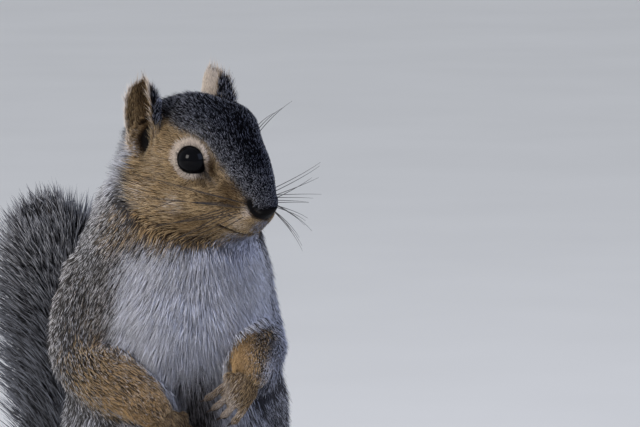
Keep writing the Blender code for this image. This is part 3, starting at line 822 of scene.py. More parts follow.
# On the front of the upper lip and on the chin the whitish grey is their own; the blue-grey over it is
# painted shade
frontLip = near(local, (0, -28, -18.6), (3.6, 4, 5), 0.5) * onHead * (1 - bare)
underLip = near(local, (2, -21, -26), (6.5, 6.5, 3.6), 0.5) * onHead
white = highest(white, 0.45 * frontLip, 0.42 * underLip)
cool = highest(cool, 0.4 * frontLip, 0.5 * underLip)
bare = np.maximum(bare, ramp(-0.5, -0.9, normals[:, 2]) * (onFoot | onPaw))
plume = onTail * (1 - 0.32 * ramp(112, 158, z))
marks = dict(
    crown=crown, tan=tan, white=white, rufous=rufous, pale=pale,
    bare=bare, plume=plume, warm=warm, dusk=dusk, cool=cool,
)

# Soft patches over the marks: mark, the group that carries it (any, if empty), centre, radii, softness, share
bodyPatches = [
    ("white", "trunk", (-36, -15, 106), (9, 12, 16), 0.7, 0.48),
    # Painted shade: the head's shadow on the upper chest, and a darker strip down the middle of the chest
    ("cool", "", (22, -22, 169), (13, 12, 8), 0.7, 0.32),
    ("cool", "", (1, -32, 144), (9, 10, 15), 0.8, 0.22),
    ("dusk", "arm", (28.5, -27, 130), (5, 9, 10), 0.6, 0.6),
    ("dusk", "arm", (-15, -40, 109), (7, 8, 7), 0.6, 0.3),
    # Painted shade under the chin, where the head's shadow falls
    ("dusk", "trunk", (4, -26, 167), (34, 16, 13), 0.6, 0.14),
    ("dusk", "trunk", (24, -20, 169), (12, 12, 9), 0.7, 0.3),
    ("tan", "arm", (26, -27, 137), (9, 8, 6), 0.6, 0.62),
    ("tan", "", (-32, -18, 134), (13, 13, 12), 0.8, 0.42),
]
headPatches = [
    ("pale", "", (7.2, -27.0, -12.6), (1.9, 2.2, 3.6), 0.6, 0.55),
    ("pale", "head", (20.5, -3, -17), (4, 5.5, 4.5), 0.8, 0.42),
    ("pale", "head", (21, 8.5, -5), (5, 5.5, 9), 0.7, 0.24),
    ("pale", "head", (25, 13, -18), (6, 9, 8), 0.7, 0.34),
    ("pale", "head", (7, -24.2, -17.5), (3.6, 3.6, 3.6), 0.6, 0.4),
    # The darker brown face patches are partly the fur's own colour and partly painted shade: the whiskers'
    # shadows over the muzzle and the ear's shadow on the temple
    ("dusk", "head", (11, -21.5, -6.5), (4.2, 5, 3.6), 0.6, 0.75),
    ("dusk", "head", (10.6, -22.4, -10.8), (4.6, 5.5, 3.0), 0.6, 0.75),
    ("dusk", "head", (15, -8, -25), (8, 10, 4.5), 0.6, 0.5),
    ("dusk", "head", (15.2, -12, -1.5), (3.6, 4.5, 5), 0.6, 0.9),
    ("dusk", "head", (14.6, -15.5, -11), (4, 5, 2.4), 0.6, 0.6),
    ("dusk", "head", (16, -11, -20.5), (5, 7, 3.2), 0.6, 0.5),
    ("dusk", "head", (18.7, -7, -8.0), (3, 4.5, 1.5), 0.6, 0.3),
    ("dusk", "head", (18, 9, 9), (4, 6, 4.5), 0.6, 0.1),
]
for places, patches in ((points, bodyPatches), (local, headPatches)):
    for name, group, centre, radii, soft, share in patches:
        carried = (skinGroups == group) | (not group)
        marks[name] = np.maximum(marks[name], share * near(places, centre, radii, soft) * carried)
broad = np.where(onHead | onEar | onTail, 0, 0.5)
for name, values in marks.items():
    if name != "bare":
        marks[name] = softened(softened(values, edges, 2), edges, 22, broad)

# Each piece of the coat: where it grows, how many tufts of which kind, and the bones its map goes round
armBones = [
    [(-26, 2, 158), (-34, 0, 138), (-34.6, -9, 125), (-21, -31.5, 116.5), (-11, -47.5, 107.5)],
    [(25.5, 2, 158), (30.4, 1, 141), (31, -8, 131), (26.8, -30, 128), (19.6, -48, 120.8)],
]
handBones = [[(-11, -47, 108), (1, -46, 91)], [(19.6, -48, 121), (6, -47, 105)]]
legBones = [[(18 * s, 24, 60), (30 * s, 4, 50), (38 * s, -22, 32), (35 * s, 10, 12)] for s in (-1, 1)]
footBones = [[(34 * s, 18, 5), (39 * s, -56, 4)] for s in (-1, 1)]
headBone = [[tuple(fromHead(place)) for place in ((0, -36, -10), (0, -20, -5), (0, 0, -1), (0, 34, -1))]]
earBones = [[tuple(fromHead((17 * s, 20, -4))), tuple(fromHead((19.6 * s, 27, 27)))] for s in (-1, 1)]
spine = [[(4, 0, 205), (1, 2, 150), (1, 4, 90), (0, 12, 5)]]
tailBone = [tailPath[::8, :3]]
isChest = onTrunk & (z >= 68) & (z <= 148) & (np.abs(front) < 75)
isBack = onTrunk & (z >= 68) & (z <= 148) & ~isChest
pieces = {
    "coat_face_right": dict(on=onHead & (inHead[:, 0] < 0), tufts=41000, kind="short", bones=headBone),
    "coat_face_left": dict(on=onHead & (inHead[:, 0] >= 0), tufts=41000, kind="short", bones=headBone),
    "coat_ears": dict(on=onEar, tufts=9000, kind="short", bones=earBones),
    "coat_neck": dict(on=onTrunk & (z > 148), tufts=29000, kind="long", bones=spine),
    "coat_chest": dict(on=isChest, tufts=29500, kind="long", bones=spine, lock=0.009, pull=0.8),
    "coat_back": dict(on=isBack, tufts=24000, kind="long", bones=spine),
    "coat_belly_and_rump": dict(on=onTrunk & (z < 68), tufts=16000, kind="long", bones=spine),
    "coat_forelegs": dict(on=onArm, tufts=23500, kind="long", bones=armBones),
    "coat_haunches": dict(on=onLeg, tufts=17500, kind="long", bones=legBones),
    "coat_paws": dict(on=onPaw | onFoot, tufts=14000, kind="short", bones=handBones + footBones),
    "coat_tail_low": dict(on=onTail & (z < 75), tufts=10800, kind="plume", bones=tailBone),
    "coat_tail_high": dict(on=onTail & (z >= 75), tufts=10800, kind="plume", bones=tailBone),
}
pieceOf = np.select([piece["on"] for piece in pieces.values()], range(len(pieces)))


def alongBones(places, bones):  # nearest bone, how far along it and the angle round it
    found = np.full(len(places), 1e9)
    which, share, angle = np.zeros(len(places)), np.zeros(len(places)), np.zeros(len(places))
    for number, bone in enumerate(bones):
        rows = spline(bone, 12)
        ways = unit(np.gradient(rows, axis=0))
        run = np.concatenate([[0], np.cumsum(length(np.diff(rows, axis=0)))])
        tree = treeOf(rows)
        hits = [tree.find(place)[1:] for place in places]
        index, gap = np.array([hit[0] for hit in hits]), np.array([hit[1] for hit in hits])
        out = places - rows[index]
        advance = (out * ways[index]).sum(1)
        reference = np.array((0.1, 1.0, 0.1)) if abs(ways[:, 1].mean()) < 0.7 else np.array((0.1, 0.1, 1.0))
        one = unit(reference - ways[index] * (ways[index] @ reference)[:, None])
        two = np.cross(ways[index], one)
        better = gap < found
        turn = np.arctan2((out * two).sum(1), (out * one).sum(1)) / (2 * np.pi) + 0.5
        found = np.where(better, gap, found)
        which, angle = np.where(better, number, which), np.where(better, turn, angle)
        share = np.where(better, np.clip((run[index] + advance + 12) / (run[-1] + 24), 0, 1), share)
    return which, share, angle


# The unwrap of the skin: each piece is wrapped round its own bones
mesh = skin.data
cornerPoint = np.empty(len(mesh.loops), np.int32)
mesh.loops.foreach_get("vertex_index", cornerPoint)
faceStart, faceSize, faceArea = (np.empty(len(mesh.polygons), kind) for kind in (np.int32, np.int32, float))
mesh.polygons.foreach_get("loop_start", faceStart)
mesh.polygons.foreach_get("loop_total", faceSize)
mesh.polygons.foreach_get("area", faceArea)
facePiece = pieceOf[cornerPoint[faceStart]]
cornerFace = np.repeat(np.arange(len(faceStart)), faceSize)
skinMap = np.zeros((len(cornerPoint), 2))
for number, piece in enumerate(pieces.values()):
    corners = np.flatnonzero(facePiece[cornerFace] == number)
    used, whichUsed = np.unique(cornerPoint[corners], return_inverse=True)
    which, share, angle = (values[whichUsed] for values in alongBones(points[used], piece["bones"]))
    first = angle[np.searchsorted(corners, faceStart[cornerFace[corners]])]
    angle = np.where(angle - first > 0.5, angle - 1, np.where(angle - first < -0.5, angle + 1, angle))
    strips = len(piece["bones"])
    skinMap[corners, 0] = (which + 0.05 + 0.9 * np.clip(angle, 0, 1.05)) / strips
    skinMap[corners, 1] = 0.02 + 0.95 * share


def store(made, name, kind, domain, values):
    layer = made.data.attributes.get(name) or made.data.attributes.new(name, kind, domain)
    key = "vector" if kind in ("FLOAT_VECTOR", "FLOAT2") else "value"
    layer.data.foreach_set(key, np.asarray(values, np.int32 if kind == "INT" else np.float32).ravel())


growing = (1 - ramp(0.3, 0.7, bare)) * np.where(onLid, ramp(0.5, 3, past), 1)
growing *= np.where(onHead, ramp(1.3, 2.2, nostrilGap), 1)
besideCanal = near(local, passage, (99, 5.6, 7.6), 0.3) * beside
earTop = earRim * ramp(0.4, 0.8, climb) * ramp(-1.5, 1.5, scoopBack)
longer = 1 + 1.2 * earRim + 0.8 * earTop + 0.9 * frontRoll + 0.25 * ruff
hairLength = hairLength * longer * (1 - 0.35 * fingers) * (1 - 0.78 * besideCanal)
lift = np.maximum(lift, np.maximum(0.8 * earRim, 0.75 * frontRoll)) + 0.4 * ruff + 0.5 * earTop
sparse = np.where(onEar, 1 - 0.55 * insideEar, 1)
thickness = growing * sparse / (hairLength * sizes[:, 2])
count = np.bincount(facePiece, faceArea * thickness[cornerPoint[faceStart]], len(pieces))
for name, values in marks.items():
    store(skin, name, "FLOAT", "POINT", values)
scaffold = dict(  # what the tufts read, and neither they nor the skin keep
    lie=("FLOAT_VECTOR", "POINT", lie),
    outward=("FLOAT_VECTOR", "POINT", normals),
    lift=("FLOAT", "POINT", lift),
    hairLength=("FLOAT", "POINT", hairLength * 0.001),
    hairWidth=("FLOAT", "POINT", sizes[:, 2] * 0.001),
    thickness=("FLOAT", "POINT", thickness),
    piece=("INT", "FACE", facePiece),
    skinMap=("FLOAT2", "CORNER", skinMap),
)
for name, (kind, domain, values) in scaffold.items():
    store(skin, name, kind, domain, values)
print("markings and map of the skin are set")


def add(tree, kind, inputs=None, **settings):  # a node with its settings, values and links
    node = tree.nodes.new(kind)
    for name, value in settings.items():
        setattr(node, name, value)
    for key, value in (inputs or {}).items():
        if isinstance(value, bpy.types.NodeSocket):
            tree.links.new(value, node.inputs[key])
        else:
            node.inputs[key].default_value = value
    return node


def noise(tree, scale, detail=2.0):
    spot = add(tree, "ShaderNodeTexCoord").outputs["Object"]
    return add(tree, "ShaderNodeTexNoise", {"Vector": spot, "Scale": scale, "Detail": detail}).outputs[0]


def linear(colour, alpha=True):  # sRGB hex to linear
    parts = [int(colour[i : i + 2], 16) / 255 for i in (1, 3, 5)]
    parts = [c / 12.92 if c <= 0.04045 else ((c + 0.055) / 1.055) ** 2.4 for c in parts]
    return (*parts, 1) if alpha else tuple(parts)


# One tuft of each kind, a unit long and a unit wide, rooted at the origin and grown along Z, with X outwards
tuft = dict(
    short=dict(rings=[0], widths=[1.0], hump=0.0, shapes=3),
    long=dict(rings=[0.42], widths=[1.0], hump=2.2, shapes=5),
    plume=dict(rings=[0.3, 0.66], widths=[1.0, 0.85], hump=4.5, shapes=5),
)


def tuftShape(kind, number):
    sizes = tuft[kind]
    sway = (number - (sizes["shapes"] - 1) / 2) * 0.9 * (kind != "short")
    corners = [(0.5, 0.0), (-0.25, 0.5), (-0.25, -0.5)]
    rows, faces, along, patch = [], [], [], []
    for t, width in zip(sizes["rings"], sizes["widths"]):
        hump, bend = (4 * t * (1 - t) * size for size in (sizes["hump"], sway))
        rows += [(hump + x * width, bend + y * width, t - 0.04 * (t == 0)) for x, y in corners]
        along += [t] * 3
        patch += [(y, t, 0) for x, y in corners]
    top = 3 * (len(sizes["rings"]) - 1)
    for i in range(0, top, 3):
        faces += [(i + k, i + (k + 1) % 3, i + 3 + (k + 1) % 3, i + 3 + k) for k in range(3)]
    faces += [(top + k, top + (k + 1) % 3, len(rows)) for k in range(3)]
    rows.append((0, 0, 1))
    along.append(1)
    patch.append((0, 1, 0))
    if sizes["rings"][0]:  # a spindle, whose root is a point under the skin
        faces += [((k + 1) % 3, k, len(rows)) for k in range(3)]
        rows.append((-0.5, 0, -0.04))
        along.append(0)
        patch.append((0, 0, 0))
    else:
        faces.append((2, 1, 0))
    mesh = bpy.data.meshes.new(f"tuft_{kind}_{number}")
    mesh.from_pydata(rows, [], faces)
    mesh.shade_smooth()
    made = bpy.data.objects.new(mesh.name, mesh)
    store(made, "along", "FLOAT", "POINT", along)
    store(made, "patch", "FLOAT_VECTOR", "POINT", patch)
    return made


tuftShapes = {}
for kind in tuft:
    tuftShapes[kind] = bpy.data.collections.new("tufts " + kind)
    for number in range(tuft[kind]["shapes"]):
        tuftShapes[kind].objects.link(tuftShape(kind, number))


def nodeGroup(name, inputs, output):  # a geometry tree with its sockets, and what it is given
    tree = bpy.data.node_groups.new(name, "GeometryNodeTree")
    for label, kind, *value in inputs:
        socket = tree.interface.new_socket(name=label, in_out="INPUT", socket_type="NodeSocket" + kind)
        if value:
            socket.default_value = value[0]
    tree.interface.new_socket(name=output, in_out="OUTPUT", socket_type="NodeSocketGeometry")
    return tree, add(tree, "NodeGroupInput").outputs


def ended(tree, shape, finish):  # the end of a tree: the material and the output
    dressed = add(tree, "GeometryNodeSetMaterial", {"Geometry": shape, "Material": finish}).outputs[0]
    add(tree, "NodeGroupOutput", {0: dressed})
    return tree


def runTree(made, tree, values):  # the tree with these inputs becomes the object's own mesh
    modifier = made.modifiers.new(tree.name, "NODES")
    modifier.node_group = tree
    for item in tree.interface.items_tree:
        if item.in_out == "INPUT" and item.name in values:
            modifier[item.identifier] = values[item.name]
    applied(made)


def coatTree():  # tufts scattered over one piece of the skin, along the lie of the coat
    tree, given = nodeGroup("coat", (
        ("Skin", "Geometry"), ("Tufts", "Collection"), ("Shapes", "Int", 3), ("Piece", "Int", 0),
        ("Thickness", "Float", 1.0), ("Lock Size", "Float", 0.006), ("Lock Pull", "Float", 0.3),
        ("Stray", "Float", 0.1), ("Patch", "Float", 0.003), ("Seed", "Int", 1), ("Material", "Material"),
    ), "Coat")
    seed = given["Seed"]

    def attribute(name, kind="FLOAT"):
        return add(tree, "GeometryNodeInputNamedAttribute", {"Name": name}, data_type=kind).outputs[0]

    def maths(operation, a, b):
        return add(tree, "ShaderNodeMath", {0: a, 1: b}, operation=operation).outputs[0]

    def plus(a, b, operation="ADD"):
        return add(tree, "ShaderNodeVectorMath", {0: a, 1: b}, operation=operation).outputs[0]

    def scaled(a, scale):
        return add(tree, "ShaderNodeVectorMath", {0: a, "Scale": scale}, operation="SCALE").outputs[0]

    def triple(x, y, z):
        return add(tree, "ShaderNodeCombineXYZ", {0: x, 1: y, 2: z}).outputs[0]

    def randomValue(inputs, output, kind="FLOAT"):
        return add(tree, "FunctionNodeRandomValue", inputs, data_type=kind).outputs[output]

    def chance(low, high, number):
        return randomValue({2: low, 3: high, "Seed": maths("ADD", seed, number)}, 1)

    def stored(shape, name, value, kind, domain):
        inputs = {"Geometry": shape, "Name": name, "Value": value}
        return add(tree, "GeometryNodeStoreNamedAttribute", inputs, data_type=kind, domain=domain).outputs[0]

    here = {2: attribute("piece", "INT"), 3: given["Piece"]}
    here = add(tree, "FunctionNodeCompare", here, data_type="INT", operation="EQUAL").outputs[0]
    density = maths("MULTIPLY", attribute("thickness"), given["Thickness"])
    roots = {"Mesh": given["Skin"], "Selection": here, "Density": density, "Seed": seed}
    roots = add(tree, "GeometryNodeDistributePointsOnFaces", roots, distribute_method="RANDOM").outputs[0]
    roots = stored(roots, "tone", chance(0.0, 1.0, 11), "FLOAT", "POINT")

    # Which way each tuft points: with the lie, off the skin, with its lock and a little astray
    place = add(tree, "GeometryNodeInputPosition").outputs[0]
    size = maths("DIVIDE", 1.0, given["Lock Size"])
    swirl = add(tree, "ShaderNodeTexNoise", {"Vector": place, "Scale": size, "Detail": 1.5}).outputs["Color"]
    pull = scaled(plus(swirl, (0.5, 0.5, 0.5), "SUBTRACT"), given["Lock Pull"])
    stray = randomValue({0: (-1, -1, -1), 1: (1, 1, 1), "Seed": seed}, 0, "FLOAT_VECTOR")
    stray = scaled(stray, given["Stray"])
    normal = attribute("outward", "FLOAT_VECTOR")
    rise = scaled(normal, maths("MULTIPLY", attribute("lift"), chance(0.65, 1.25, 7)))
    way = plus(plus(plus(attribute("lie", "FLOAT_VECTOR"), rise), pull), stray)
    turned = {"Primary Axis": way, "Secondary Axis": normal}
    turned = add(tree, "FunctionNodeAxesToRotation", turned, primary_axis="Z", secondary_axis="X").outputs[0]
    wide = maths("MULTIPLY", attribute("hairWidth"), chance(0.7, 1.3, 3))
    long = maths("MULTIPLY", attribute("hairLength"), chance(0.72, 1.12, 5))
    shapes = {"Collection": given["Tufts"], "Separate Children": True, "Reset Children": True}
    shapes = add(tree, "GeometryNodeCollectionInfo", shapes).outputs[0]
    pick = randomValue({4: 0, 5: maths("SUBTRACT", given["Shapes"], 1), "Seed": seed}, 2, "INT")
    tufts = add(tree, "GeometryNodeInstanceOnPoints", {
        "Points": roots, "Instance": shapes, "Pick Instance": True, "Instance Index": pick,
        "Rotation": turned, "Scale": triple(wide, wide, long),
    }).outputs[0]
    real = add(tree, "GeometryNodeRealizeInstances", {"Geometry": tufts}).outputs[0]

    # No hair reaches under the floor, and each tuft is a small patch of the skin's map
    x, y, height = add(tree, "ShaderNodeSeparateXYZ", {0: place}).outputs
    above = triple(x, y, maths("MAXIMUM", height, 0.0002))
    real = add(tree, "GeometryNodeSetPosition", {"Geometry": real, "Position": above}).outputs[0]
    patch = scaled(attribute("patch", "FLOAT_VECTOR"), given["Patch"])
    spot = plus(attribute("skinMap", "FLOAT_VECTOR"), patch)
    real = stored(real, "OFBake", spot, "FLOAT2", "CORNER")
    for name in (*scaffold, "patch"):
        real = add(tree, "GeometryNodeRemoveAttribute", {"Geometry": real, "Name": name}).outputs[0]
    return ended(tree, real, given["Material"])


# Hair colours from root to tip. Grey hair is dark with a pale band below its tip, which frosts the coat.
hairColours = dict(
    darkHair=[(0, "#2b2b2d"), (0.5, "#4c4b4b"), (0.8, "#5a5856"), (1, "#2e2d2d")],
    lightHair=[
        (0, "#363536"), (0.6, "#4e4c4c"), (0.7, "#b9b9be"),
        (0.84, "#ededf2"), (0.9, "#77767a"), (1, "#3f3e3f"),
    ],
    crownDark=[(0, "#050508"), (0.6, "#0c0d14"), (1, "#06070b")],
    crownLight=[
        (0, "#08080c"), (0.5, "#13141c"), (0.64, "#8a8d9b"),
        (0.84, "#b6b9c6"), (0.93, "#30323c"), (1, "#15161d"),
    ],
    tanDark=[(0, "#2e251e"), (0.5, "#4b3d30"), (1, "#56473a")],
    tanLight=[(0, "#5d4f42"), (0.5, "#a28863"), (0.8, "#d2bb98"), (1, "#ddccb0")],
    rufous=[(0, "#584a38"), (0.5, "#9c8360"), (1, "#cfb38b")],
    white=[(0, "#a3a4ac"), (0.4, "#c4c5cf"), (1, "#e6e7ee")],
    pale=[(0, "#a2958a"), (0.5, "#d8cabc"), (1, "#f4e9de")],
    plume=[
        (0, "#4b4642"), (0.3, "#57514d"), (0.5, "#4a494c"),
        (0.72, "#4d4e53"), (0.86, "#696c75"), (1, "#7b7e88"),
    ],
    bareSkin="#070606",
)


def markingsGroup():  # the same markings for skin and coat
    tree = bpy.data.node_groups.new("markings", "ShaderNodeTree")
    tree.interface.new_socket(name="Color", in_out="OUTPUT", socket_type="NodeSocketColor")

    def mark(name):
        return add(tree, "ShaderNodeAttribute", attribute_name=name).outputs["Fac"]

    def maths(operation, a, b=0.0, c=0.0):
        return add(tree, "ShaderNodeMath", {0: a, 1: b, 2: c}, operation=operation).outputs[0]

    def mixed(share, a, b, blend="MIX"):
        mix = {0: share, 6: a, 7: b}
        return add(tree, "ShaderNodeMix", mix, data_type="RGBA", blend_type=blend).outputs[2]

    def tinted(share, colour, tint):
        return mixed(share, colour, mixed(1.0, colour, linear(tint), "MULTIPLY"))

    tone = mark("tone")

    def another(factor):  # a second chance drawn from the tuft's own
        return maths("FRACT", maths("MULTIPLY", tone, factor))

    shift = maths("MULTIPLY_ADD", another(29.0), 0.14, -0.07)
    along = maths("ADD", mark("along"), shift)  # the bands don't stand level from hair to hair
    jitter = another(17.0)
    blur = maths("MULTIPLY_ADD", another(41.0), 0.6, -0.3)

    def hair(name):
        node = add(tree, "ShaderNodeValToRGB", {0: along})
        stops = node.color_ramp.elements
        rows = hairColours[name]
        while len(stops) < len(rows):
            stops.new(0.5)
        for stop, (at, colour) in zip(stops, rows):
            stop.position, stop.color = at, linear(colour)
        return node.outputs[0]

    isLight = maths("GREATER_THAN", tone, 0.38)
    isLightCrown = maths("GREATER_THAN", maths("MULTIPLY_ADD", mark("cool"), -0.5, tone), 0.58)
    colour = mixed(isLight, hair("darkHair"), hair("lightHair"))

    def ragged(name):  # hairs of both colours stand mixed along an edge
        edge = {0: maths("ADD", mark(name), blur), 1: 0.3, 2: 0.7}
        return add(tree, "ShaderNodeMapRange", edge, interpolation_type="SMOOTHSTEP").outputs[0]

    isLightTan = maths("GREATER_THAN", tone, 0.3)
    colour = mixed(ragged("tan"), colour, mixed(isLightTan, hair("tanDark"), hair("tanLight")))
    colour = mixed(ragged("rufous"), colour, hair("rufous"))
    colour = tinted(maths("MULTIPLY", mark("warm"), 0.55), colour, "#ffdcae")
    colour = mixed(ragged("crown"), colour, mixed(isLightCrown, hair("crownDark"), hair("crownLight")))
    for name in ("white", "pale"):
        colour = mixed(ragged(name), colour, hair(name))
    colour = mixed(mark("plume"), colour, hair("plume"))
    patchy = maths("MULTIPLY", noise(tree, 140.0), 0.34)
    bright = maths("ADD", maths("MULTIPLY_ADD", jitter, 0.36, 0.65), patchy)
    grey = add(tree, "ShaderNodeCombineColor", {0: bright, 1: bright, 2: bright}).outputs[0]
    colour = mixed(1.0, colour, grey, "MULTIPLY")
    # Painted shade: a brown and a blue-grey multiply where the marks put creases, hollows and shadows; the
    # blue-grey also darkens the crown's top
    colour = tinted(mark("dusk"), colour, "#5a4630")
    colour = tinted(mark("cool"), colour, "#6e82ac")
    colour = mixed(mark("bare"), colour, linear(hairColours["bareSkin"]))
    add(tree, "NodeGroupOutput", {0: colour})
    return tree


markings = markingsGroup()


def material(name, **values):
    made = bpy.data.materials.new(name)
    made.use_nodes = True
    shader = made.node_tree.nodes["Principled BSDF"]
    for socket, value in values.items():
        shader.inputs[socket.replace("_", " ")].default_value = value
    return made, made.node_tree, shader


def mottled(name, dark, light, grain, relief=0.0, **values):  # two near colours mixed in a fine grain
    made, tree, shader = material(name, **values)
    cloud = noise(tree, *grain)
    mix = {0: cloud, 6: linear(dark), 7: linear(light)}
    tree.links.new(add(tree, "ShaderNodeMix", mix, data_type="RGBA").outputs[2], shader.inputs["Base Color"])
    if relief:
        bump = add(tree, "ShaderNodeBump", {"Height": cloud, "Strength": relief, "Distance": 0.0001})
        tree.links.new(bump.outputs[0], shader.inputs["Normal"])
    return made


def marked(name, **values):  # a material that carries the markings
    made, tree, shader = material(name, **values)
    group = add(tree, "ShaderNodeGroup", node_tree=markings)
    tree.links.new(group.outputs[0], shader.inputs["Base Color"])
    return made, tree, shader


def skinMaterial():  # short flat hair over skin, and the bare moist leather of nose and lids
    made, tree, shader = marked("short_fur_and_bare_skin", Specular_IOR_Level=0.06)
    bare = add(tree, "ShaderNodeAttribute", attribute_name="bare").outputs["Fac"]
    rough = add(tree, "ShaderNodeMapRange", {0: bare, 3: 0.75, 4: 0.55}).outputs[0]
    tree.links.new(rough, shader.inputs["Roughness"])
    spot = add(tree, "ShaderNodeTexCoord").outputs["Object"]
    grain = add(tree, "ShaderNodeTexVoronoi", {"Vector": spot, "Scale": 2400.0}).outputs[0]
    relief = add(tree, "ShaderNodeMix", {0: bare, 2: noise(tree, 1600.0, 3.0), 3: grain}).outputs[0]
    bump = add(tree, "ShaderNodeBump", {"Height": relief, "Strength": 0.5, "Distance": 0.00018})
    tree.links.new(bump.outputs[0], shader.inputs["Normal"])
    return made


# Winter coat: dull keratin whose tips barely catch the light
fur = marked("winter_fur", Roughness=0.66, Specular_IOR_Level=0.05)[0]
skinFinish = skinMaterial()
# A wet cornea over a near-black iris
gloss = dict(Roughness=0.04, IOR=1.3, Specular_IOR_Level=0.2)
cornea = mottled("moist_cornea", "#010102", "#06060a", (900.0,), **gloss)
# Dark claw keratin with a fine grain, and the smooth stiff hair of the whiskers, nearly black
horn = mottled("claw_keratin", "#15100d", "#3a2d24", (1500.0, 3.0), 0.2, Roughness=0.34)
whiskerHair = mottled("whisker_hair", "#0d0a09", "#2a211b", (300.0,), Roughness=0.4)


def finished(made, name, finish, slotName, *replaced):
    made.name = made.data.name = name
    if finish:
        made.data.materials.clear()
        made.data.materials.append(finish)
    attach(made, "root")
    if replaced:
        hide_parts(*replaced)
    return made


# The coat, one plain mesh for each piece
coatLook = dict(
    short=dict(lock=0.0035, pull=0.35, stray=0.16),
    long=dict(lock=0.0065, pull=0.55, stray=0.12),
    plume=dict(lock=0.012, pull=0.35, stray=0.16),
)
slots = dict(
    face="head_coat", ears="ear_skin", neck="neck_coat", forelegs="foreleg_coat", paws="paw_coat",
    haunches="haunch_coat", tail="tail_coat",
)
coatNodes = coatTree()
for number, (name, sizes) in enumerate(pieces.items()):
    kind = sizes["kind"]
    look = coatLook[kind] | sizes
    grown = bpy.data.objects.new(name, skin.data)
    scene.collection.objects.link(grown)
    runTree(grown, coatNodes, {
        "Tufts": tuftShapes[kind], "Shapes": tuft[kind]["shapes"], "Piece": number, "Seed": 20 + number,
        "Thickness": float(look["tufts"] / count[number]), "Stray": look["stray"],
        "Lock Size": look["lock"], "Lock Pull": look["pull"], "Material": fur,
    })
    finished(grown, name, None, slots.get(name.split("_")[1], "trunk_coat"))
    print(name, len(grown.data.vertices), "points,", triangles(grown), "triangles")

for name in scaffold:
    skin.data.attributes.remove(skin.data.attributes[name])
store(skin, "along", "FLOAT", "POINT", np.full(len(points), 0.4))
store(skin, "tone", "FLOAT", "POINT", np.full(len(points), 0.3))
skin.data.shade_smooth()
hidden = ["tail"] + [f"{part}_{side}" for part in ("forepaw", "hind_foot") for side in sides]
finished(skin, "skin", skinFinish, "trunk_coat", *fleshNames, *hidden)

for sign, word in ((1, "left"), (-1, "right")):
    centre = fromHead(np.array(eye["place"]) * (sign, 1, 1))
    ball = meshObject("eyeball", *blob(centre, (eye["radius"],) * 3))
    ball.data.shade_smooth()
    finished(ball, f"eyeball_{word}", cornea, "eye", f"eye_{word}")


def roundedClaw(name):
    claw = meshObject(name, *mergedNode(name, 0))
    smooth = claw.modifiers.new("round", "SUBSURF")
    smooth.levels = smooth.render_levels = 2
    applied(claw)
    claw.data.shade_smooth()
    return claw


for name in sorted(nodes):
    if name.startswith("claw"):
        finished(roundedClaw(name), name.replace("claw", "nail"), horn, "claw_horn", name)
print("skin, eyes and claws are dressed")

# Whiskers on the lip: which way they start and end, how they rise and how long. Brow and cheek have a few.
whisker = dict(
    rows=4, columns=4, thick=0.16,
    left=dict(start=(0.86, 0.05), end=(0.83, 0.36), rise=0.10, longest=57),
    right=dict(start=(0.86, 0.05), end=(0.63, 0.78), rise=0.30, longest=57),  # laid back over the cheek
)


def whiskerPaths():
    rng = np.random.default_rng(7)
    for side, held in ((1, whisker["left"]), (-1, whisker["right"])):
        paths = []
        for row in range(whisker["rows"]):
            for column in range(whisker["columns"]):
                root = np.array((7.2 + 0.9 * column, -26.5 + 2.3 * column, -10.0 - 1.55 * row))
                reach = held["longest"] * (0.56 + 0.13 * column) * rng.uniform(0.85, 1.1)
                rise = held["rise"] - 0.22 * row + rng.uniform(-0.06, 0.06)
                paths.append((root, (*held["start"], rise), (*held["end"], rise - 0.15), reach))
        for k in range(3):
            brow = np.array((11.5 + k, -9 + 2 * k, 9.0))
            paths.append((brow, (0.45, -0.2, 0.85), (0.95, 0.1, 0.3 - 0.1 * k), 23 - 4 * k))
        paths.append((np.array((16.5, -2, -15.0)), (0.9, 0.1, -0.2), (0.6, 0.6, -0.5), 20))
        for root, start, end, reach in paths:
            t = np.linspace(0, 1, 9)[:, None]
            way = unit(unit(np.array(start)) * (1 - t) + unit(np.array(end)) * t)
            rows = root + np.cumsum(way * reach / 9, axis=0) - way[0] * (reach / 9 + 0.8)
            yield fromHead(rows * (side, 1, 1))


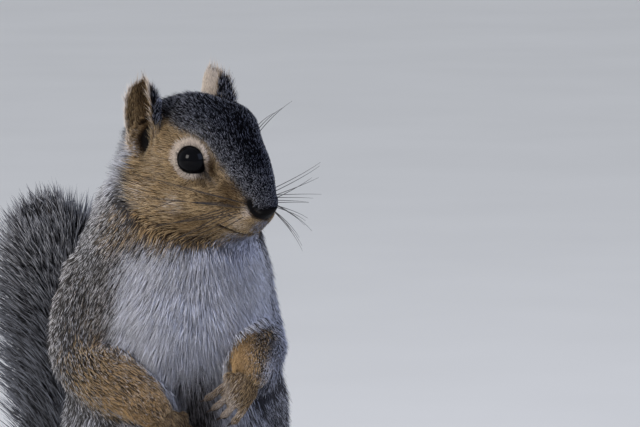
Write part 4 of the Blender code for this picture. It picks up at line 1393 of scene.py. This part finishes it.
def whiskerTree():  # a tapered hair along each line
    inputs = ("Lines", "Geometry"), ("Radius", "Float"), ("Material", "Material")
    tree, given = nodeGroup("whiskers", inputs, "Whiskers")
    curve = add(tree, "GeometryNodeMeshToCurve", {0: given["Lines"]}).outputs[0]
    share = add(tree, "GeometryNodeSplineParameter").outputs["Factor"]
    taper = add(tree, "ShaderNodeMapRange", {0: share, 3: 1.0, 4: 0.3}).outputs[0]
    curve = add(tree, "GeometryNodeSetCurveRadius", {"Curve": curve, "Radius": taper}).outputs[0]
    ring = {"Resolution": 6, "Radius": given["Radius"]}
    ring = add(tree, "GeometryNodeCurvePrimitiveCircle", ring).outputs[0]
    hairs = {"Curve": curve, "Profile Curve": ring, "Scale": taper, "Fill Caps": True}
    hairs = add(tree, "GeometryNodeCurveToMesh", hairs).outputs[0]
    real = add(tree, "GeometryNodeRealizeInstances", {0: hairs}).outputs[0]
    return ended(tree, real, given["Material"])


def makeWhiskers():
    points, edges = [], []
    for path in whiskerPaths():
        edges += [(len(points) + k, len(points) + k + 1) for k in range(len(path) - 1)]
        points += list(path)
    made = meshObject("whiskers", points, [], edges)
    runTree(made, whiskerTree(), {"Radius": whisker["thick"] * 0.001, "Material": whiskerHair})
    made.data.shade_smooth()
    finished(made, "whiskers", None, "head_coat")


makeWhiskers()

# A plain pale floor and soft studio light: a broad key from in front and to the left, and a cooler fill
studio = dict(sky="#c9ced8", skyStrength=0.95)


def makeStudio():
    bm = bmesh.new()
    bmesh.ops.create_grid(bm, x_segments=8, y_segments=8, size=12)
    mesh = bpy.data.meshes.new("floor")
    bm.to_mesh(mesh)
    bm.free()
    floor = bpy.data.objects.new("floor", mesh)
    scene.collection.objects.link(floor)
    plaster = mottled("matt_plaster_floor", "#dedcd8", "#e8e6e2", (6.0,), Roughness=0.85)  # faintly clouded
    mesh.materials.append(plaster)
    world = bpy.data.worlds.new("studio")
    world.use_nodes = True
    world.node_tree.nodes["Background"].inputs["Color"].default_value = linear(studio["sky"])
    world.node_tree.nodes["Background"].inputs["Strength"].default_value = studio["skyStrength"]
    scene.world = world
    middle = Vector(toModel((0, 0, 150)))
    for name, (across, rise, ahead), size, watts, colour in (
        ("key", (-1.15, 0.6, 1.15), 0.6, 19, "#fffaf4"),
        ("fill", (1.2, 0.6, 0.95), 1.0, 9, "#bfd0ff"),
        ("top", (0.1, 1.6, -0.2), 1.2, 2, "#dfe8ff"),
    ):
        light = bpy.data.lights.new(name, "AREA")
        light.size, light.energy, light.color = size, watts, linear(colour, False)
        lamp = bpy.data.objects.new(name, light)
        lamp.location = middle + right * across + up * rise + back * ahead
        lamp.rotation_euler = (middle - lamp.location).to_track_quat("-Z", "Y").to_euler()
        scene.collection.objects.link(lamp)
    scene.view_settings.view_transform = "Standard"


makeStudio()
